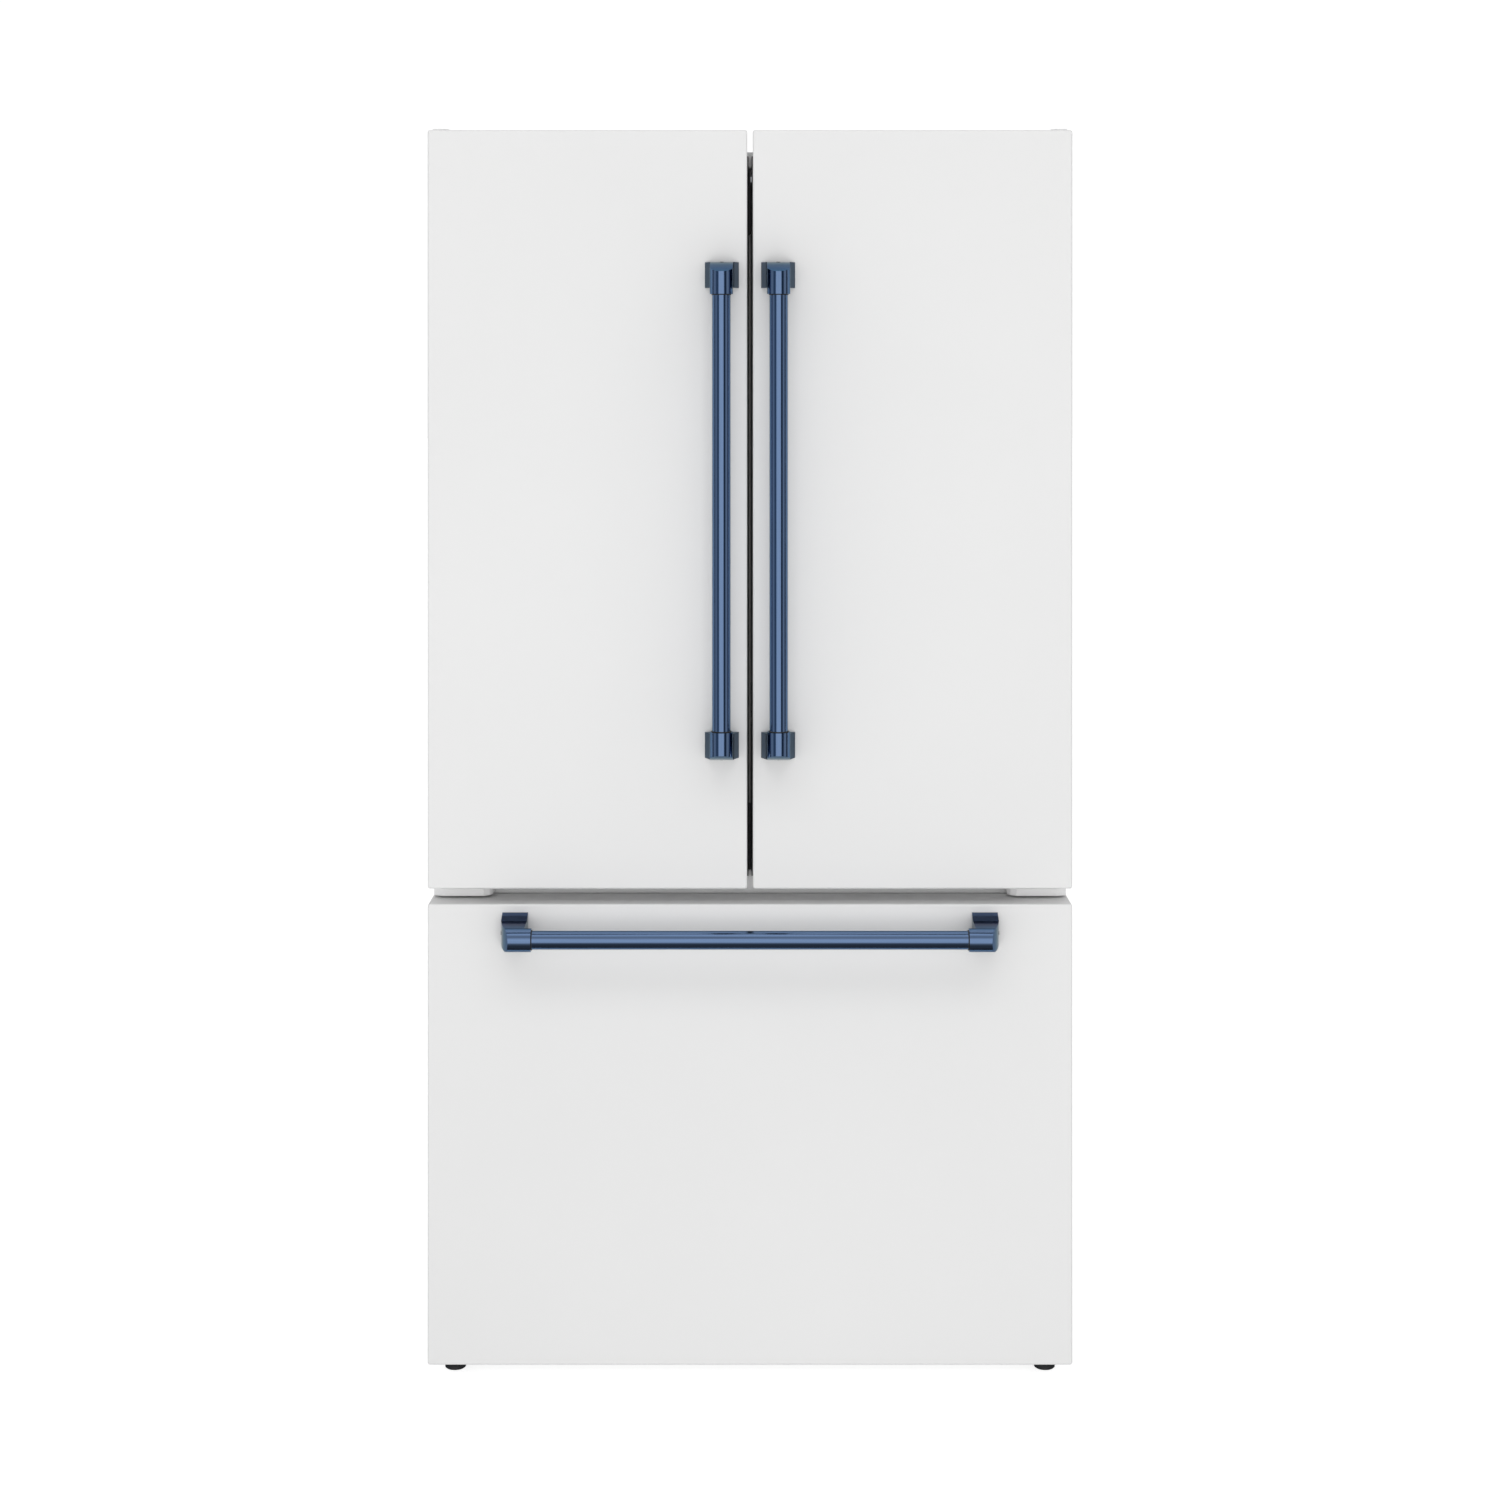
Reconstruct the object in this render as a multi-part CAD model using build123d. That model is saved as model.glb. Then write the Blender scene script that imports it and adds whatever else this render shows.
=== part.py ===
from build123d import *

import os

# French door refrigerator: two fresh-food doors above one freezer drawer.
# Millimetres. +X is the viewer's right when facing the doors, +Y runs to the back, +Z is up.
# The origin is on the floor, under the middle of the overall box.

# ---- driving dimensions: outside -------------------------------------------------------------
WIDTH = 911.0
DOOR_TOP = 1775.0
DOOR_BOTTOM = 703.0
DRAWER_TOP = 681.5
DRAWER_BOTTOM = 30.5
CABINET_TOP = 1750.0
CABINET_BOTTOM = 34.0
CABINET_HALF_WIDTH = 452.5
DOOR_GAP = 8.0
DOOR_THICKNESS = 70.0
HANDLE_REACH = 81.0
OVERALL_DEPTH = 764.0
SEAL_GAP = 12.0

HALF_WIDTH = WIDTH / 2
REAR_Y = OVERALL_DEPTH / 2
DOOR_FACE_Y = HANDLE_REACH - REAR_Y
DOOR_BACK_Y = DOOR_FACE_Y + DOOR_THICKNESS
CABINET_FRONT_Y = DOOR_BACK_Y + SEAL_GAP
DOOR_INNER_X = DOOR_GAP / 2
DOOR_X = (DOOR_INNER_X, HALF_WIDTH)
DOOR_Z = (DOOR_BOTTOM, DOOR_TOP)
DRAWER_X = (-HALF_WIDTH, HALF_WIDTH)
DRAWER_Z = (DRAWER_BOTTOM, DRAWER_TOP)

# ---- driving dimensions: materials and clearances --------------------------------------------
STEEL = 1.2
SKIN = 1.0
PLASTIC = 2.0
SKIN_EDGE_RADIUS = 4.0
SKIN_CORNER_RADIUS = 3.5
RUNNING_GAP = 0.06
SIDE_GAP = 0.5
SEAL_CLEARANCE = 0.3

# ---- driving dimensions: compartments --------------------------------------------------------
FRESH_HALF = 410.0
FRESH_BOTTOM = 711.0
FRESH_TOP = 1729.5
FREEZER_HALF = 398.0
FREEZER_BOTTOM = 92.0
FREEZER_TOP = 652.0
LINER_REAR_Y = 333.0
FREEZER_FLOOR_REAR_Y = 90.0
FREEZER_STEP_Z = 344.0
FLANGE_INNER_X = 430.5
MACHINE_FRONT_Y = 130.0
MACHINE_TOP = 300.0
RAIL_DEPTH = 24.0
RIB_WIDTH = 24.0
TOP_RIB_X = 210.0
BACK_RIB_SPACING = 150.0
REAR_COVER_INSET = 4.0

# ---- driving dimensions: hinges, mullion, seals ----------------------------------------------
HINGE_X = 446.0
HINGE_Y = DOOR_FACE_Y + 51.0
HINGE_PIN_RADIUS = 4.0
HINGE_ARM_Z = DOOR_TOP + 1.0
HINGE_ARM_THICKNESS = 4.0
HINGE_PIN_DEPTH = 16.0
HINGE_BLOCK_HEIGHT = 31.0
HINGE_BLOCK_X = (HINGE_X - 26, HALF_WIDTH - SKIN - 3)
HINGE_BLOCK_Y = (HINGE_Y - 18, HINGE_Y + 13)
MIDDLE_HINGE_Z = 684.5
MIDDLE_HINGE_THICKNESS = 10.0
MIDDLE_HINGE_INNER_X = 368.5
GASKET_WIDTH = 15.0
GASKET_OUTER_X = 440.0
GASKET_INNER_X = 2.2
DRAWER_GASKET_Z = (70.0, 670.0)
DYKE_HEIGHT = 28.0
DYKE_WIDTH = 20.0
DYKE_INNER_X = 56.0
DYKE_OUTER_X = 398.0
DYKE_BOTTOM = 733.0
DYKE_TOP = 1708.0
DRAWER_DYKE_HEIGHT = 16.0
DOOR_DYKE_X = (DYKE_INNER_X, DYKE_OUTER_X)
DOOR_DYKE_Z = (DYKE_BOTTOM, DYKE_TOP)
DRAWER_DYKE_X = (-372.0, 372.0)
DRAWER_DYKE_Z = (104.0, 640.0)
MULLION_PIVOT_X = -40.0
MULLION_PIVOT_Y = -208.0
MULLION_LEFT = -44.0
MULLION_RIGHT = -0.2
MULLION_FRONT_Y = CABINET_FRONT_Y + 0.5
MULLION_DEPTH = 20.5
MULLION_BOTTOM = 714.5
MULLION_TOP = 1726.0
MULLION_HINGE_HEIGHTS = (775.0, 1665.0)
MULLION_ARM_HALF = 15.0
MULLION_PIN_RADIUS = 3.0

# ---- driving dimensions: handles -------------------------------------------------------------
HANDLE_SPACING = 663.0
HANDLE_BAR_RADIUS = 12.7
HANDLE_AXIS_REACH = 65.0
SLEEVE_RADIUS = 16.0
BRACKET_BASE_ACROSS = 48.0
BRACKET_BASE_ALONG = 36.3
BRACKET_FLANK_REACH = 18.0
BRACKET_COVE_INSET = 15.0
SLEEVE_OVERHANG = 10.0
BAR_ENTRY = 20.0
SET_SCREW_RADIUS = 3.5
DOOR_HANDLE_X = 39.7
DOOR_HANDLE_Z = 1238.2
DRAWER_HANDLE_Z = 646.0

# ---- driving dimensions: inside fittings -----------------------------------------------------
SHELF_HEIGHTS = (1120.0, 1310.0, 1500.0)
SHELF_FRONT_Y = -70.0
SHELF_REAR_Y = 296.0
SHELF_INNER_X = 10.0
SHELF_OUTER_X = 401.0
SHELF_RIM = 14.0
LADDER_X = (SHELF_INNER_X + 8, SHELF_OUTER_X - 8)
GLASS = 4.0
BIN_HEIGHTS = (975.0, 1225.0, 1470.0)
BIN_HEIGHT = 115.0
BIN_REACH = 118.0
BIN_WALL = 3.0
CRISPER_FRONT_Y = -110.0
CRISPER_REAR_Y = 255.0
CRISPER_BOTTOM = 716.0
CRISPER_TOP = 900.0
CRISPER_COVER_Z = 906.0
RAIL_Z = 350.0
RAIL_HEIGHT = 30.0
RAIL_SECTION = 5.5
RAIL_OUTER_X = FREEZER_HALF - PLASTIC - RAIL_SECTION
RAIL_MIDDLE_X = RAIL_OUTER_X - RAIL_SECTION - SIDE_GAP
RAIL_INNER_X = RAIL_MIDDLE_X - RAIL_SECTION - SIDE_GAP
OUTER_RAIL_Y = (-208.0, 240.0)
MIDDLE_RAIL_Y = (-205.0, 236.0)
INNER_RAIL_Y = (DOOR_BACK_Y, 212.0)
BASKET_TOP = 336.0
BASKET_BOTTOM = 112.0
TRAY_BOTTOM = 384.0
TRAY_TOP = 500.0

# ---- driving dimensions: fans, feet, rollers, power inlet ------------------------------------
BACK_COVER_Y = 268.0
EVAPORATOR_FAN_Z = 596.0
EVAPORATOR_FAN_RADIUS = 44.0
CONDENSER_FAN_X = -60.0
CONDENSER_FAN_Y = 255.0
CONDENSER_FAN_Z = 150.0
CONDENSER_FAN_RADIUS = 70.0
FAN_SHAFT_RADIUS = 3.0
FOOT_X = 424.0
FOOT_Y = -229.0
FOOT_RADIUS = 15.0
FOOT_STEM_RADIUS = 5.0
ROLLER_X = 400.0
ROLLER_Y = 340.0
ROLLER_RADIUS = 20.0
ROLLER_WIDTH = 18.0
AXLE_RADIUS = 4.0
INLET_X = 53.0
INLET_WIDTH = 46.0
INLET_Z = (90.0, 124.0)

SIDES = (-1, 1)


def block(x_range, y_range, z_range):
    """A box between two limits along each axis."""
    size = [high - low for low, high in (x_range, y_range, z_range)]
    middle = [(high + low) / 2 for low, high in (x_range, y_range, z_range)]
    return Pos(*middle) * Box(*size)


def block_about(x, width, y_range, z_range):
    """A box centred on one X position."""
    return block((x - width / 2, x + width / 2), y_range, z_range)


def rod(centre, radius, length, axis="z"):
    """A round bar centred on a point, along one axis."""
    turns = {"x": Rot(0, 90, 0), "y": Rot(90, 0, 0), "z": Rot(0, 0, 0)}
    return Pos(*centre) * turns[axis] * Cylinder(radius, length)


def flipped(shape):
    """The same shape on the other side of the refrigerator."""
    return mirror(shape, about=Plane.YZ)


def sided(shape, side):
    """A right-hand shape, or its mirror image for the left side."""
    return shape if side > 0 else flipped(shape)


def prism_z(points, z_range):
    """A closed outline in plan, raised between two heights."""
    face = make_face(Polyline(*points, close=True))
    return Pos(0, 0, z_range[0]) * extrude(face, z_range[1] - z_range[0])


def ring(x_range, y_range, z_range, width):
    """A flat rectangular frame facing the front, of one bar width."""
    outer = block(x_range, y_range, z_range)
    hole = block(
        (x_range[0] + width, x_range[1] - width),
        (y_range[0] - 1, y_range[1] + 1),
        (z_range[0] + width, z_range[1] - width),
    )
    return outer - hole


def open_box(x_range, y_range, z_range, wall, corner):
    """A drawer or bin: a box with rounded upright edges, open at the top."""
    outer = block(x_range, y_range, z_range)
    outer = fillet(outer.edges().filter_by(Axis.Z), corner)
    inner = block(
        (x_range[0] + wall, x_range[1] - wall),
        (y_range[0] + wall, y_range[1] - wall),
        (z_range[0] + wall, z_range[1] + wall),
    )
    inner = fillet(inner.edges().filter_by(Axis.Z), corner - wall)
    return outer - inner


# ---- cabinet ---------------------------------------------------------------------------------
def side_panel(side):
    """One folded steel side with a front flange and a rear flange."""
    rear_flange = 12.0
    x_out = CABINET_HALF_WIDTH
    x_in = CABINET_HALF_WIDTH - STEEL
    front = CABINET_FRONT_Y
    rear = REAR_Y - 2 * STEEL
    points = [
        (x_out, front),
        (x_out, rear),
        (x_in - rear_flange, rear),
        (x_in - rear_flange, rear - STEEL),
        (x_in, rear - STEEL),
        (x_in, front + STEEL),
        (FLANGE_INNER_X, front + STEEL),
        (FLANGE_INNER_X, front),
    ]
    return sided(prism_z(points, (CABINET_BOTTOM, CABINET_TOP)), side)


def top_panel():
    """The steel top with two pressed stiffening ribs."""
    inner = CABINET_HALF_WIDTH - STEEL
    y_range = (CABINET_FRONT_Y + STEEL, REAR_Y - 3 * STEEL)
    sheet = block((-inner, inner), y_range, (CABINET_TOP - STEEL, CABINET_TOP))
    end_margin = 130.0
    rib_y = (CABINET_FRONT_Y + end_margin, REAR_Y - end_margin)
    for side in SIDES:
        sheet += block_about(side * TOP_RIB_X, RIB_WIDTH, rib_y, (CABINET_TOP, CABINET_TOP + 2 * STEEL))
    return sheet


def back_panel():
    """The steel back above the compressor space, with upright pressed ribs."""
    half = CABINET_HALF_WIDTH - REAR_COVER_INSET
    sheet = block((-half, half), (REAR_Y - 2 * STEEL, REAR_Y - STEEL), (MACHINE_TOP + 1, CABINET_TOP - 2))
    end_margin = 85.0
    rib_z = (MACHINE_TOP + end_margin, CABINET_TOP - end_margin)
    for index in range(-2, 3):
        sheet += block_about(index * BACK_RIB_SPACING, RIB_WIDTH, (REAR_Y - STEEL, REAR_Y), rib_z)
    return sheet


def foot_lug(side):
    """A welded lug under the base's front edge, threaded for one levelling foot."""
    width = 44.0
    reach = 30.0
    front = CABINET_FRONT_Y + STEEL
    lug_z = (22, 26)
    lug = block_about(side * FOOT_X, width, (FOOT_Y - FOOT_RADIUS + 1, front + reach), lug_z)
    lug += block_about(side * FOOT_X, width, (front + 2, front + reach), (lug_z[0], CABINET_BOTTOM + 0.5))
    return lug - rod((side * FOOT_X, FOOT_Y, sum(lug_z) / 2), FOOT_STEM_RADIUS + RUNNING_GAP, 20)


def roller_ear(x):
    """A plate that hangs under the base and holds one end of a roller's axle."""
    thickness = 3.0
    half_length = 12.0
    bottom = 9.0
    y_range = (ROLLER_Y - half_length, ROLLER_Y + half_length)
    ear = block_about(x, thickness, y_range, (bottom, CABINET_BOTTOM + STEEL))
    return ear - rod((x, ROLLER_Y, ROLLER_RADIUS), AXLE_RADIUS, 60, "x")


def base_pan():
    """The steel base with the compressor step, foot lugs and roller ears."""
    inner = CABINET_HALF_WIDTH - STEEL
    rear = REAR_Y - 3 * STEEL
    floor = (CABINET_BOTTOM, CABINET_BOTTOM + STEEL)
    wall = (MACHINE_FRONT_Y - STEEL, MACHINE_FRONT_Y)
    pan = block((-inner, inner), (CABINET_FRONT_Y + STEEL, rear), floor)
    pan += block((-inner, inner), wall, (CABINET_BOTTOM, MACHINE_TOP + STEEL))
    pan += block((-inner, inner), (wall[0], rear), (MACHINE_TOP, MACHINE_TOP + STEEL))
    well_half = ROLLER_RADIUS + 5
    ear_offset = ROLLER_WIDTH / 2 + 4
    for side in SIDES:
        well_y = (ROLLER_Y - well_half, ROLLER_Y + well_half)
        pan -= block_about(side * ROLLER_X, ROLLER_WIDTH + 10, well_y, floor)
        pan += roller_ear(side * ROLLER_X - ear_offset)
        pan += roller_ear(side * ROLLER_X + ear_offset)
        pan += foot_lug(side)
    return pan


def front_rail(z_range):
    """One folded steel rail across the cabinet's front."""
    y_range = (CABINET_FRONT_Y, CABINET_FRONT_Y + RAIL_DEPTH)
    half = FLANGE_INNER_X
    channel = block((-half, half), y_range, z_range)
    hollow = block(
        (-half, half),
        (CABINET_FRONT_Y + STEEL, CABINET_FRONT_Y + RAIL_DEPTH),
        (z_range[0] + STEEL, z_range[1] - STEEL),
    )
    return channel - hollow


def front_rails():
    """The top, middle and bottom rails."""
    return [
        front_rail((FRESH_TOP, CABINET_TOP - STEEL)),
        front_rail((FREEZER_TOP, FRESH_BOTTOM)),
        front_rail((CABINET_BOTTOM + STEEL, FREEZER_BOTTOM)),
    ]


def fresh_outline(inset):
    """The fresh-food liner's outer form, or its hollow when inset by the wall."""
    front = CABINET_FRONT_Y - inset
    return block(
        (-FRESH_HALF + inset, FRESH_HALF - inset),
        (front, LINER_REAR_Y - inset),
        (FRESH_BOTTOM + inset, FRESH_TOP - inset),
    )


def side_lips(half, z_range):
    """The liner's flat lips that cover the front edge out to the steel flange."""
    y_range = (CABINET_FRONT_Y, CABINET_FRONT_Y + PLASTIC)
    lip = block((half - PLASTIC, FLANGE_INNER_X), y_range, z_range)
    return [sided(lip, side) for side in SIDES]


def fresh_food_liner():
    """The upper compartment's one-piece liner, with the mullion's guide under its ceiling."""
    liner = fresh_outline(0) - fresh_outline(PLASTIC)
    for lip in side_lips(FRESH_HALF, (FRESH_BOTTOM, FRESH_TOP)):
        liner += lip
    guide_y = (CABINET_FRONT_Y + 30, CABINET_FRONT_Y + 52)
    ceiling = FRESH_TOP - PLASTIC
    guide_drop = 9.0
    guide_width = 52.0
    return liner + block_about(0, guide_width, guide_y, (ceiling - guide_drop, ceiling))


def freezer_outline(inset):
    """The freezer liner's stepped form, or its hollow when inset by the wall."""
    front = CABINET_FRONT_Y - inset
    low = FREEZER_BOTTOM + inset
    high = FREEZER_TOP - inset
    points = [
        (front, low),
        (FREEZER_FLOOR_REAR_Y - inset, low),
        (FREEZER_FLOOR_REAR_Y - inset, FREEZER_STEP_Z + inset),
        (LINER_REAR_Y - inset, FREEZER_STEP_Z + inset),
        (LINER_REAR_Y - inset, high),
        (front, high),
    ]
    half = FREEZER_HALF - inset
    face = make_face(Polyline(*[(-half, y, z) for y, z in points], close=True))
    return extrude(face, 2 * half, dir=(1, 0, 0))


def freezer_liner():
    """The lower compartment's one-piece liner, stepped over the compressor space."""
    liner = freezer_outline(0) - freezer_outline(PLASTIC)
    for lip in side_lips(FREEZER_HALF, (FREEZER_BOTTOM, FREEZER_TOP)):
        liner += lip
    return liner


def insulation_foam():
    """The foam that fills the cabinet between its sheets and its liners."""
    half = CABINET_HALF_WIDTH - STEEL
    front = CABINET_FRONT_Y + PLASTIC
    foam = block((-half, half), (front, REAR_Y - 3 * STEEL), (CABINET_BOTTOM + STEEL, CABINET_TOP - STEEL))
    foam -= fresh_outline(0)
    foam -= freezer_outline(0)
    space = (MACHINE_FRONT_Y - STEEL, REAR_Y)
    foam -= block((-half, half), space, (CABINET_BOTTOM, MACHINE_TOP + STEEL))
    for rail in front_rails():
        foam -= rail
    return foam


def top_hinge(side):
    """A top hinge: a flat arm over the door's top, on a foot screwed to the cabinet."""
    tip = HINGE_Y - 11
    arm_z = (HINGE_ARM_Z, HINGE_ARM_Z + HINGE_ARM_THICKNESS)
    rear = CABINET_FRONT_Y + 60
    outer_x = HINGE_X + 7
    foot_x = HINGE_X + 3.5
    points = [
        (HINGE_X - 30, rear),
        (HINGE_X - 14, tip + 6),
        (HINGE_X - 8, tip),
        (outer_x, tip),
        (outer_x, CABINET_FRONT_Y),
        (foot_x, CABINET_FRONT_Y),
        (foot_x, rear),
    ]
    arm = prism_z(points, arm_z)
    foot_y = (CABINET_FRONT_Y + 10, rear)
    foot_plate = 5.0
    arm += block((HINGE_X - 60, foot_x), foot_y, (CABINET_TOP, CABINET_TOP + foot_plate))
    arm += block((HINGE_X - 25, foot_x), foot_y, (CABINET_TOP, arm_z[1]))
    arm -= rod((HINGE_X, HINGE_Y, arm_z[0]), HINGE_PIN_RADIUS, 40)
    return sided(arm, side)


def middle_bracket(side):
    """A middle hinge: a thick white bracket that carries the door's lower pin."""
    tip = HINGE_Y - 10
    outer_x = HINGE_X + 6
    collar_radius = 7.0
    points = [
        (MIDDLE_HINGE_INNER_X, CABINET_FRONT_Y),
        (MIDDLE_HINGE_INNER_X, tip + 12),
        (MIDDLE_HINGE_INNER_X + 4, tip + 5),
        (MIDDLE_HINGE_INNER_X + 12, tip),
        (HINGE_X - 7, tip),
        (outer_x, tip + 5),
        (outer_x, CABINET_FRONT_Y),
    ]
    top = MIDDLE_HINGE_Z + MIDDLE_HINGE_THICKNESS
    collar_top = DOOR_BOTTOM - 0.5
    bracket = prism_z(points, (MIDDLE_HINGE_Z, top))
    bracket += rod((HINGE_X, HINGE_Y, (top + collar_top) / 2), collar_radius, collar_top - top)
    bracket -= rod((HINGE_X, HINGE_Y, top), HINGE_PIN_RADIUS, 60)
    return sided(bracket, side)


def door_hinges():
    """Both top hinges and both middle hinges."""
    return [shape(side) for side in SIDES for shape in (top_hinge, middle_bracket)]


def hinge_pins():
    """The four pins, pressed into the hinges and running in the doors."""
    top_z = (DOOR_TOP - HINGE_PIN_DEPTH, HINGE_ARM_Z + HINGE_ARM_THICKNESS)
    low_z = (MIDDLE_HINGE_Z, DOOR_BOTTOM + HINGE_PIN_DEPTH)
    pins = []
    for side in SIDES:
        for low, high in (top_z, low_z):
            pins.append(rod((side * HINGE_X, HINGE_Y, (low + high) / 2), HINGE_PIN_RADIUS, high - low))
    return pins


def hinge_cover(side):
    """A rounded plastic cover over one top hinge's foot."""
    length = 91.0
    inner_x = HINGE_X - 90
    wall = 4.0
    arm_top = HINGE_ARM_Z + HINGE_ARM_THICKNESS
    y_range = (CABINET_FRONT_Y + 1, CABINET_FRONT_Y + 1 + length)
    outer = block((inner_x, CABINET_HALF_WIDTH), y_range, (CABINET_TOP, arm_top + PLASTIC))
    outer = fillet(outer.edges().filter_by(Axis.Z), 12)
    outer = fillet(outer.edges().group_by(Axis.Z)[-1], 2.5)
    hollow = block(
        (inner_x + wall, CABINET_HALF_WIDTH - PLASTIC),
        (y_range[0] - 2, y_range[1] - wall),
        (CABINET_TOP - 1, arm_top + SEAL_CLEARANCE),
    )
    hollow = fillet(hollow.edges().filter_by(Axis.Z), 1)
    return sided(outer - hollow, side)


def hinge_covers():
    """Both top hinge covers."""
    return [hinge_cover(side) for side in SIDES]


def shelf_frame(height, side):
    """A moulded rim that holds one glass shelf, with two hooks that sit on the ladders."""
    hook_width = 6.0
    hook_reach = 16.0
    bottom = height - 10
    outer = block((SHELF_INNER_X, SHELF_OUTER_X), (SHELF_FRONT_Y, SHELF_REAR_Y), (bottom, height + 6))
    outer = fillet(outer.edges().filter_by(Axis.Z), 5)
    opening = block(
        (SHELF_INNER_X + SHELF_RIM, SHELF_OUTER_X - SHELF_RIM),
        (SHELF_FRONT_Y + SHELF_RIM, SHELF_REAR_Y - SHELF_RIM),
        (height - 12, height + 8),
    )
    frame = outer - opening - glass_pane(height) - glass_pane(height + GLASS)
    hook_y = (SHELF_REAR_Y - 1, SHELF_REAR_Y + hook_reach)
    for x in LADDER_X:
        frame += block_about(x, hook_width, hook_y, (bottom, height + 3))
    return sided(frame, side)


def glass_pane(height):
    """The glass of one right-hand shelf."""
    margin = 6
    return block(
        (SHELF_INNER_X + margin, SHELF_OUTER_X - margin),
        (SHELF_FRONT_Y + margin, SHELF_REAR_Y - margin),
        (height, height + GLASS),
    )


def shelf_frames():
    """The rims of the six half-width shelves."""
    return [shelf_frame(height, side) for side in SIDES for height in SHELF_HEIGHTS]


def glass_shelves():
    """The six glass panes."""
    return [sided(glass_pane(height), side) for side in SIDES for height in SHELF_HEIGHTS]


def shelf_ladders():
    """Four slotted steel tracks on the compartment's back wall."""
    track_width = 18.0
    slot_width = 6.0
    slot_half_height = 7.0
    slot_depth = 8.0
    pitch = 30.0
    beyond_shelves = 120.0
    tracks = []
    y_range = (SHELF_REAR_Y + 16, LINER_REAR_Y - PLASTIC)
    z_range = (SHELF_HEIGHTS[0] - beyond_shelves, SHELF_HEIGHTS[-1] + beyond_shelves)
    slot_y = (y_range[0] - 1, y_range[0] + slot_depth)
    slot_count = int((z_range[1] - z_range[0]) // pitch)
    for x in LADDER_X:
        track = block_about(x, track_width, y_range, z_range)
        for index in range(1, slot_count):
            z = z_range[0] + index * pitch
            track -= block_about(x, slot_width, slot_y, (z - slot_half_height, z + slot_half_height))
        tracks += [sided(track, side) for side in SIDES]
    return tracks


def air_duct_cover():
    """The moulded duct cover between the ladders, with four outlets in its head."""
    head_width = 140.0
    stem_width = 16.0
    outlet_width = 20.0
    outlet_spacing = 32.0
    bottom = CRISPER_COVER_Z + 30
    head_bottom = SHELF_HEIGHTS[-1] + 125
    top = SHELF_HEIGHTS[-1] + 170
    y_range = (SHELF_REAR_Y + 6, LINER_REAR_Y - PLASTIC)
    outlet_y = (y_range[0] - 1, y_range[0] + 12)
    cover = block_about(0, head_width, y_range, (head_bottom, top))
    cover += block_about(0, stem_width, y_range, (bottom, head_bottom))
    for index in range(4):
        x = (index - 1.5) * outlet_spacing
        cover -= block_about(x, outlet_width, outlet_y, (top - 34, top - 12))
    return cover


def crisper_cover():
    """The glass lid above both crispers, on a moulded front edge."""
    half = FRESH_HALF - PLASTIC - 1
    thickness = 6.0
    z_range = (CRISPER_COVER_Z, CRISPER_COVER_Z + thickness)
    lid = block((-half, half), (CRISPER_FRONT_Y + 4, LINER_REAR_Y - PLASTIC - 1), z_range)
    edge_y = (CRISPER_FRONT_Y - 4, CRISPER_FRONT_Y + 10)
    return lid + block((-half, half), edge_y, (z_range[0], z_range[1] + thickness))


def crisper(side):
    """A see-through drawer with a thick front and a finger lip."""
    x_range = (6, FRESH_HALF - PLASTIC - 6)
    y_range = (CRISPER_FRONT_Y, CRISPER_REAR_Y)
    drawer = open_box(x_range, y_range, (CRISPER_BOTTOM, CRISPER_TOP), BIN_WALL, 12)
    end_margin = 60.0
    lip_x = (x_range[0] + end_margin, x_range[1] - end_margin)
    lip_front = CRISPER_FRONT_Y - 16
    lip_top = CRISPER_TOP - 20
    lip = block(lip_x, (lip_front, CRISPER_FRONT_Y + 1), (lip_top - 4, lip_top))
    lip += block(lip_x, (lip_front, lip_front + BIN_WALL), (lip_top - 24, lip_top))
    return sided(drawer + lip, side)


# ---- freezer fittings and cooling ------------------------------------------------------------
def rail_bar(inner_x, y_range):
    """One telescopic rail element: a flat bar with two folded lips."""
    web = 1.5
    lip = 3.0
    bar = block((inner_x, inner_x + RAIL_SECTION), y_range, (RAIL_Z, RAIL_Z + RAIL_HEIGHT))
    groove = block(
        (inner_x + web, inner_x + RAIL_SECTION + 1),
        (y_range[0] - 1, y_range[1] + 1),
        (RAIL_Z + lip, RAIL_Z + RAIL_HEIGHT - lip),
    )
    return bar - groove


def freezer_outer_rails():
    """The rails fixed to the freezer liner."""
    return [sided(rail_bar(RAIL_OUTER_X, OUTER_RAIL_Y), side) for side in SIDES]


def freezer_middle_rails():
    """The rails that travel half as far as the drawer, joined by a rear sync bar."""
    left, right = [sided(rail_bar(RAIL_MIDDLE_X, MIDDLE_RAIL_Y), side) for side in SIDES]
    bar_width = 8.0
    bar_rear = MIDDLE_RAIL_Y[1] - 2
    bar_z = (RAIL_Z + 8, RAIL_Z + 16)
    bar = block_about(0, 2 * RAIL_MIDDLE_X + 2, (bar_rear - bar_width, bar_rear), bar_z)
    return left + bar + right


def drawer_inner_rails():
    """The drawer's own rails, with flanges screwed to its inner panel."""
    flange_half_height = 60.0
    flange_y = (DOOR_BACK_Y, DOOR_BACK_Y + 3)
    flange_z = (RAIL_Z - flange_half_height, RAIL_Z + flange_half_height)
    rail = rail_bar(RAIL_INNER_X, INNER_RAIL_Y)
    rail += block((RAIL_INNER_X, RAIL_INNER_X + RAIL_SECTION), flange_y, flange_z)
    return [sided(rail, side) for side in SIDES]


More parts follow.
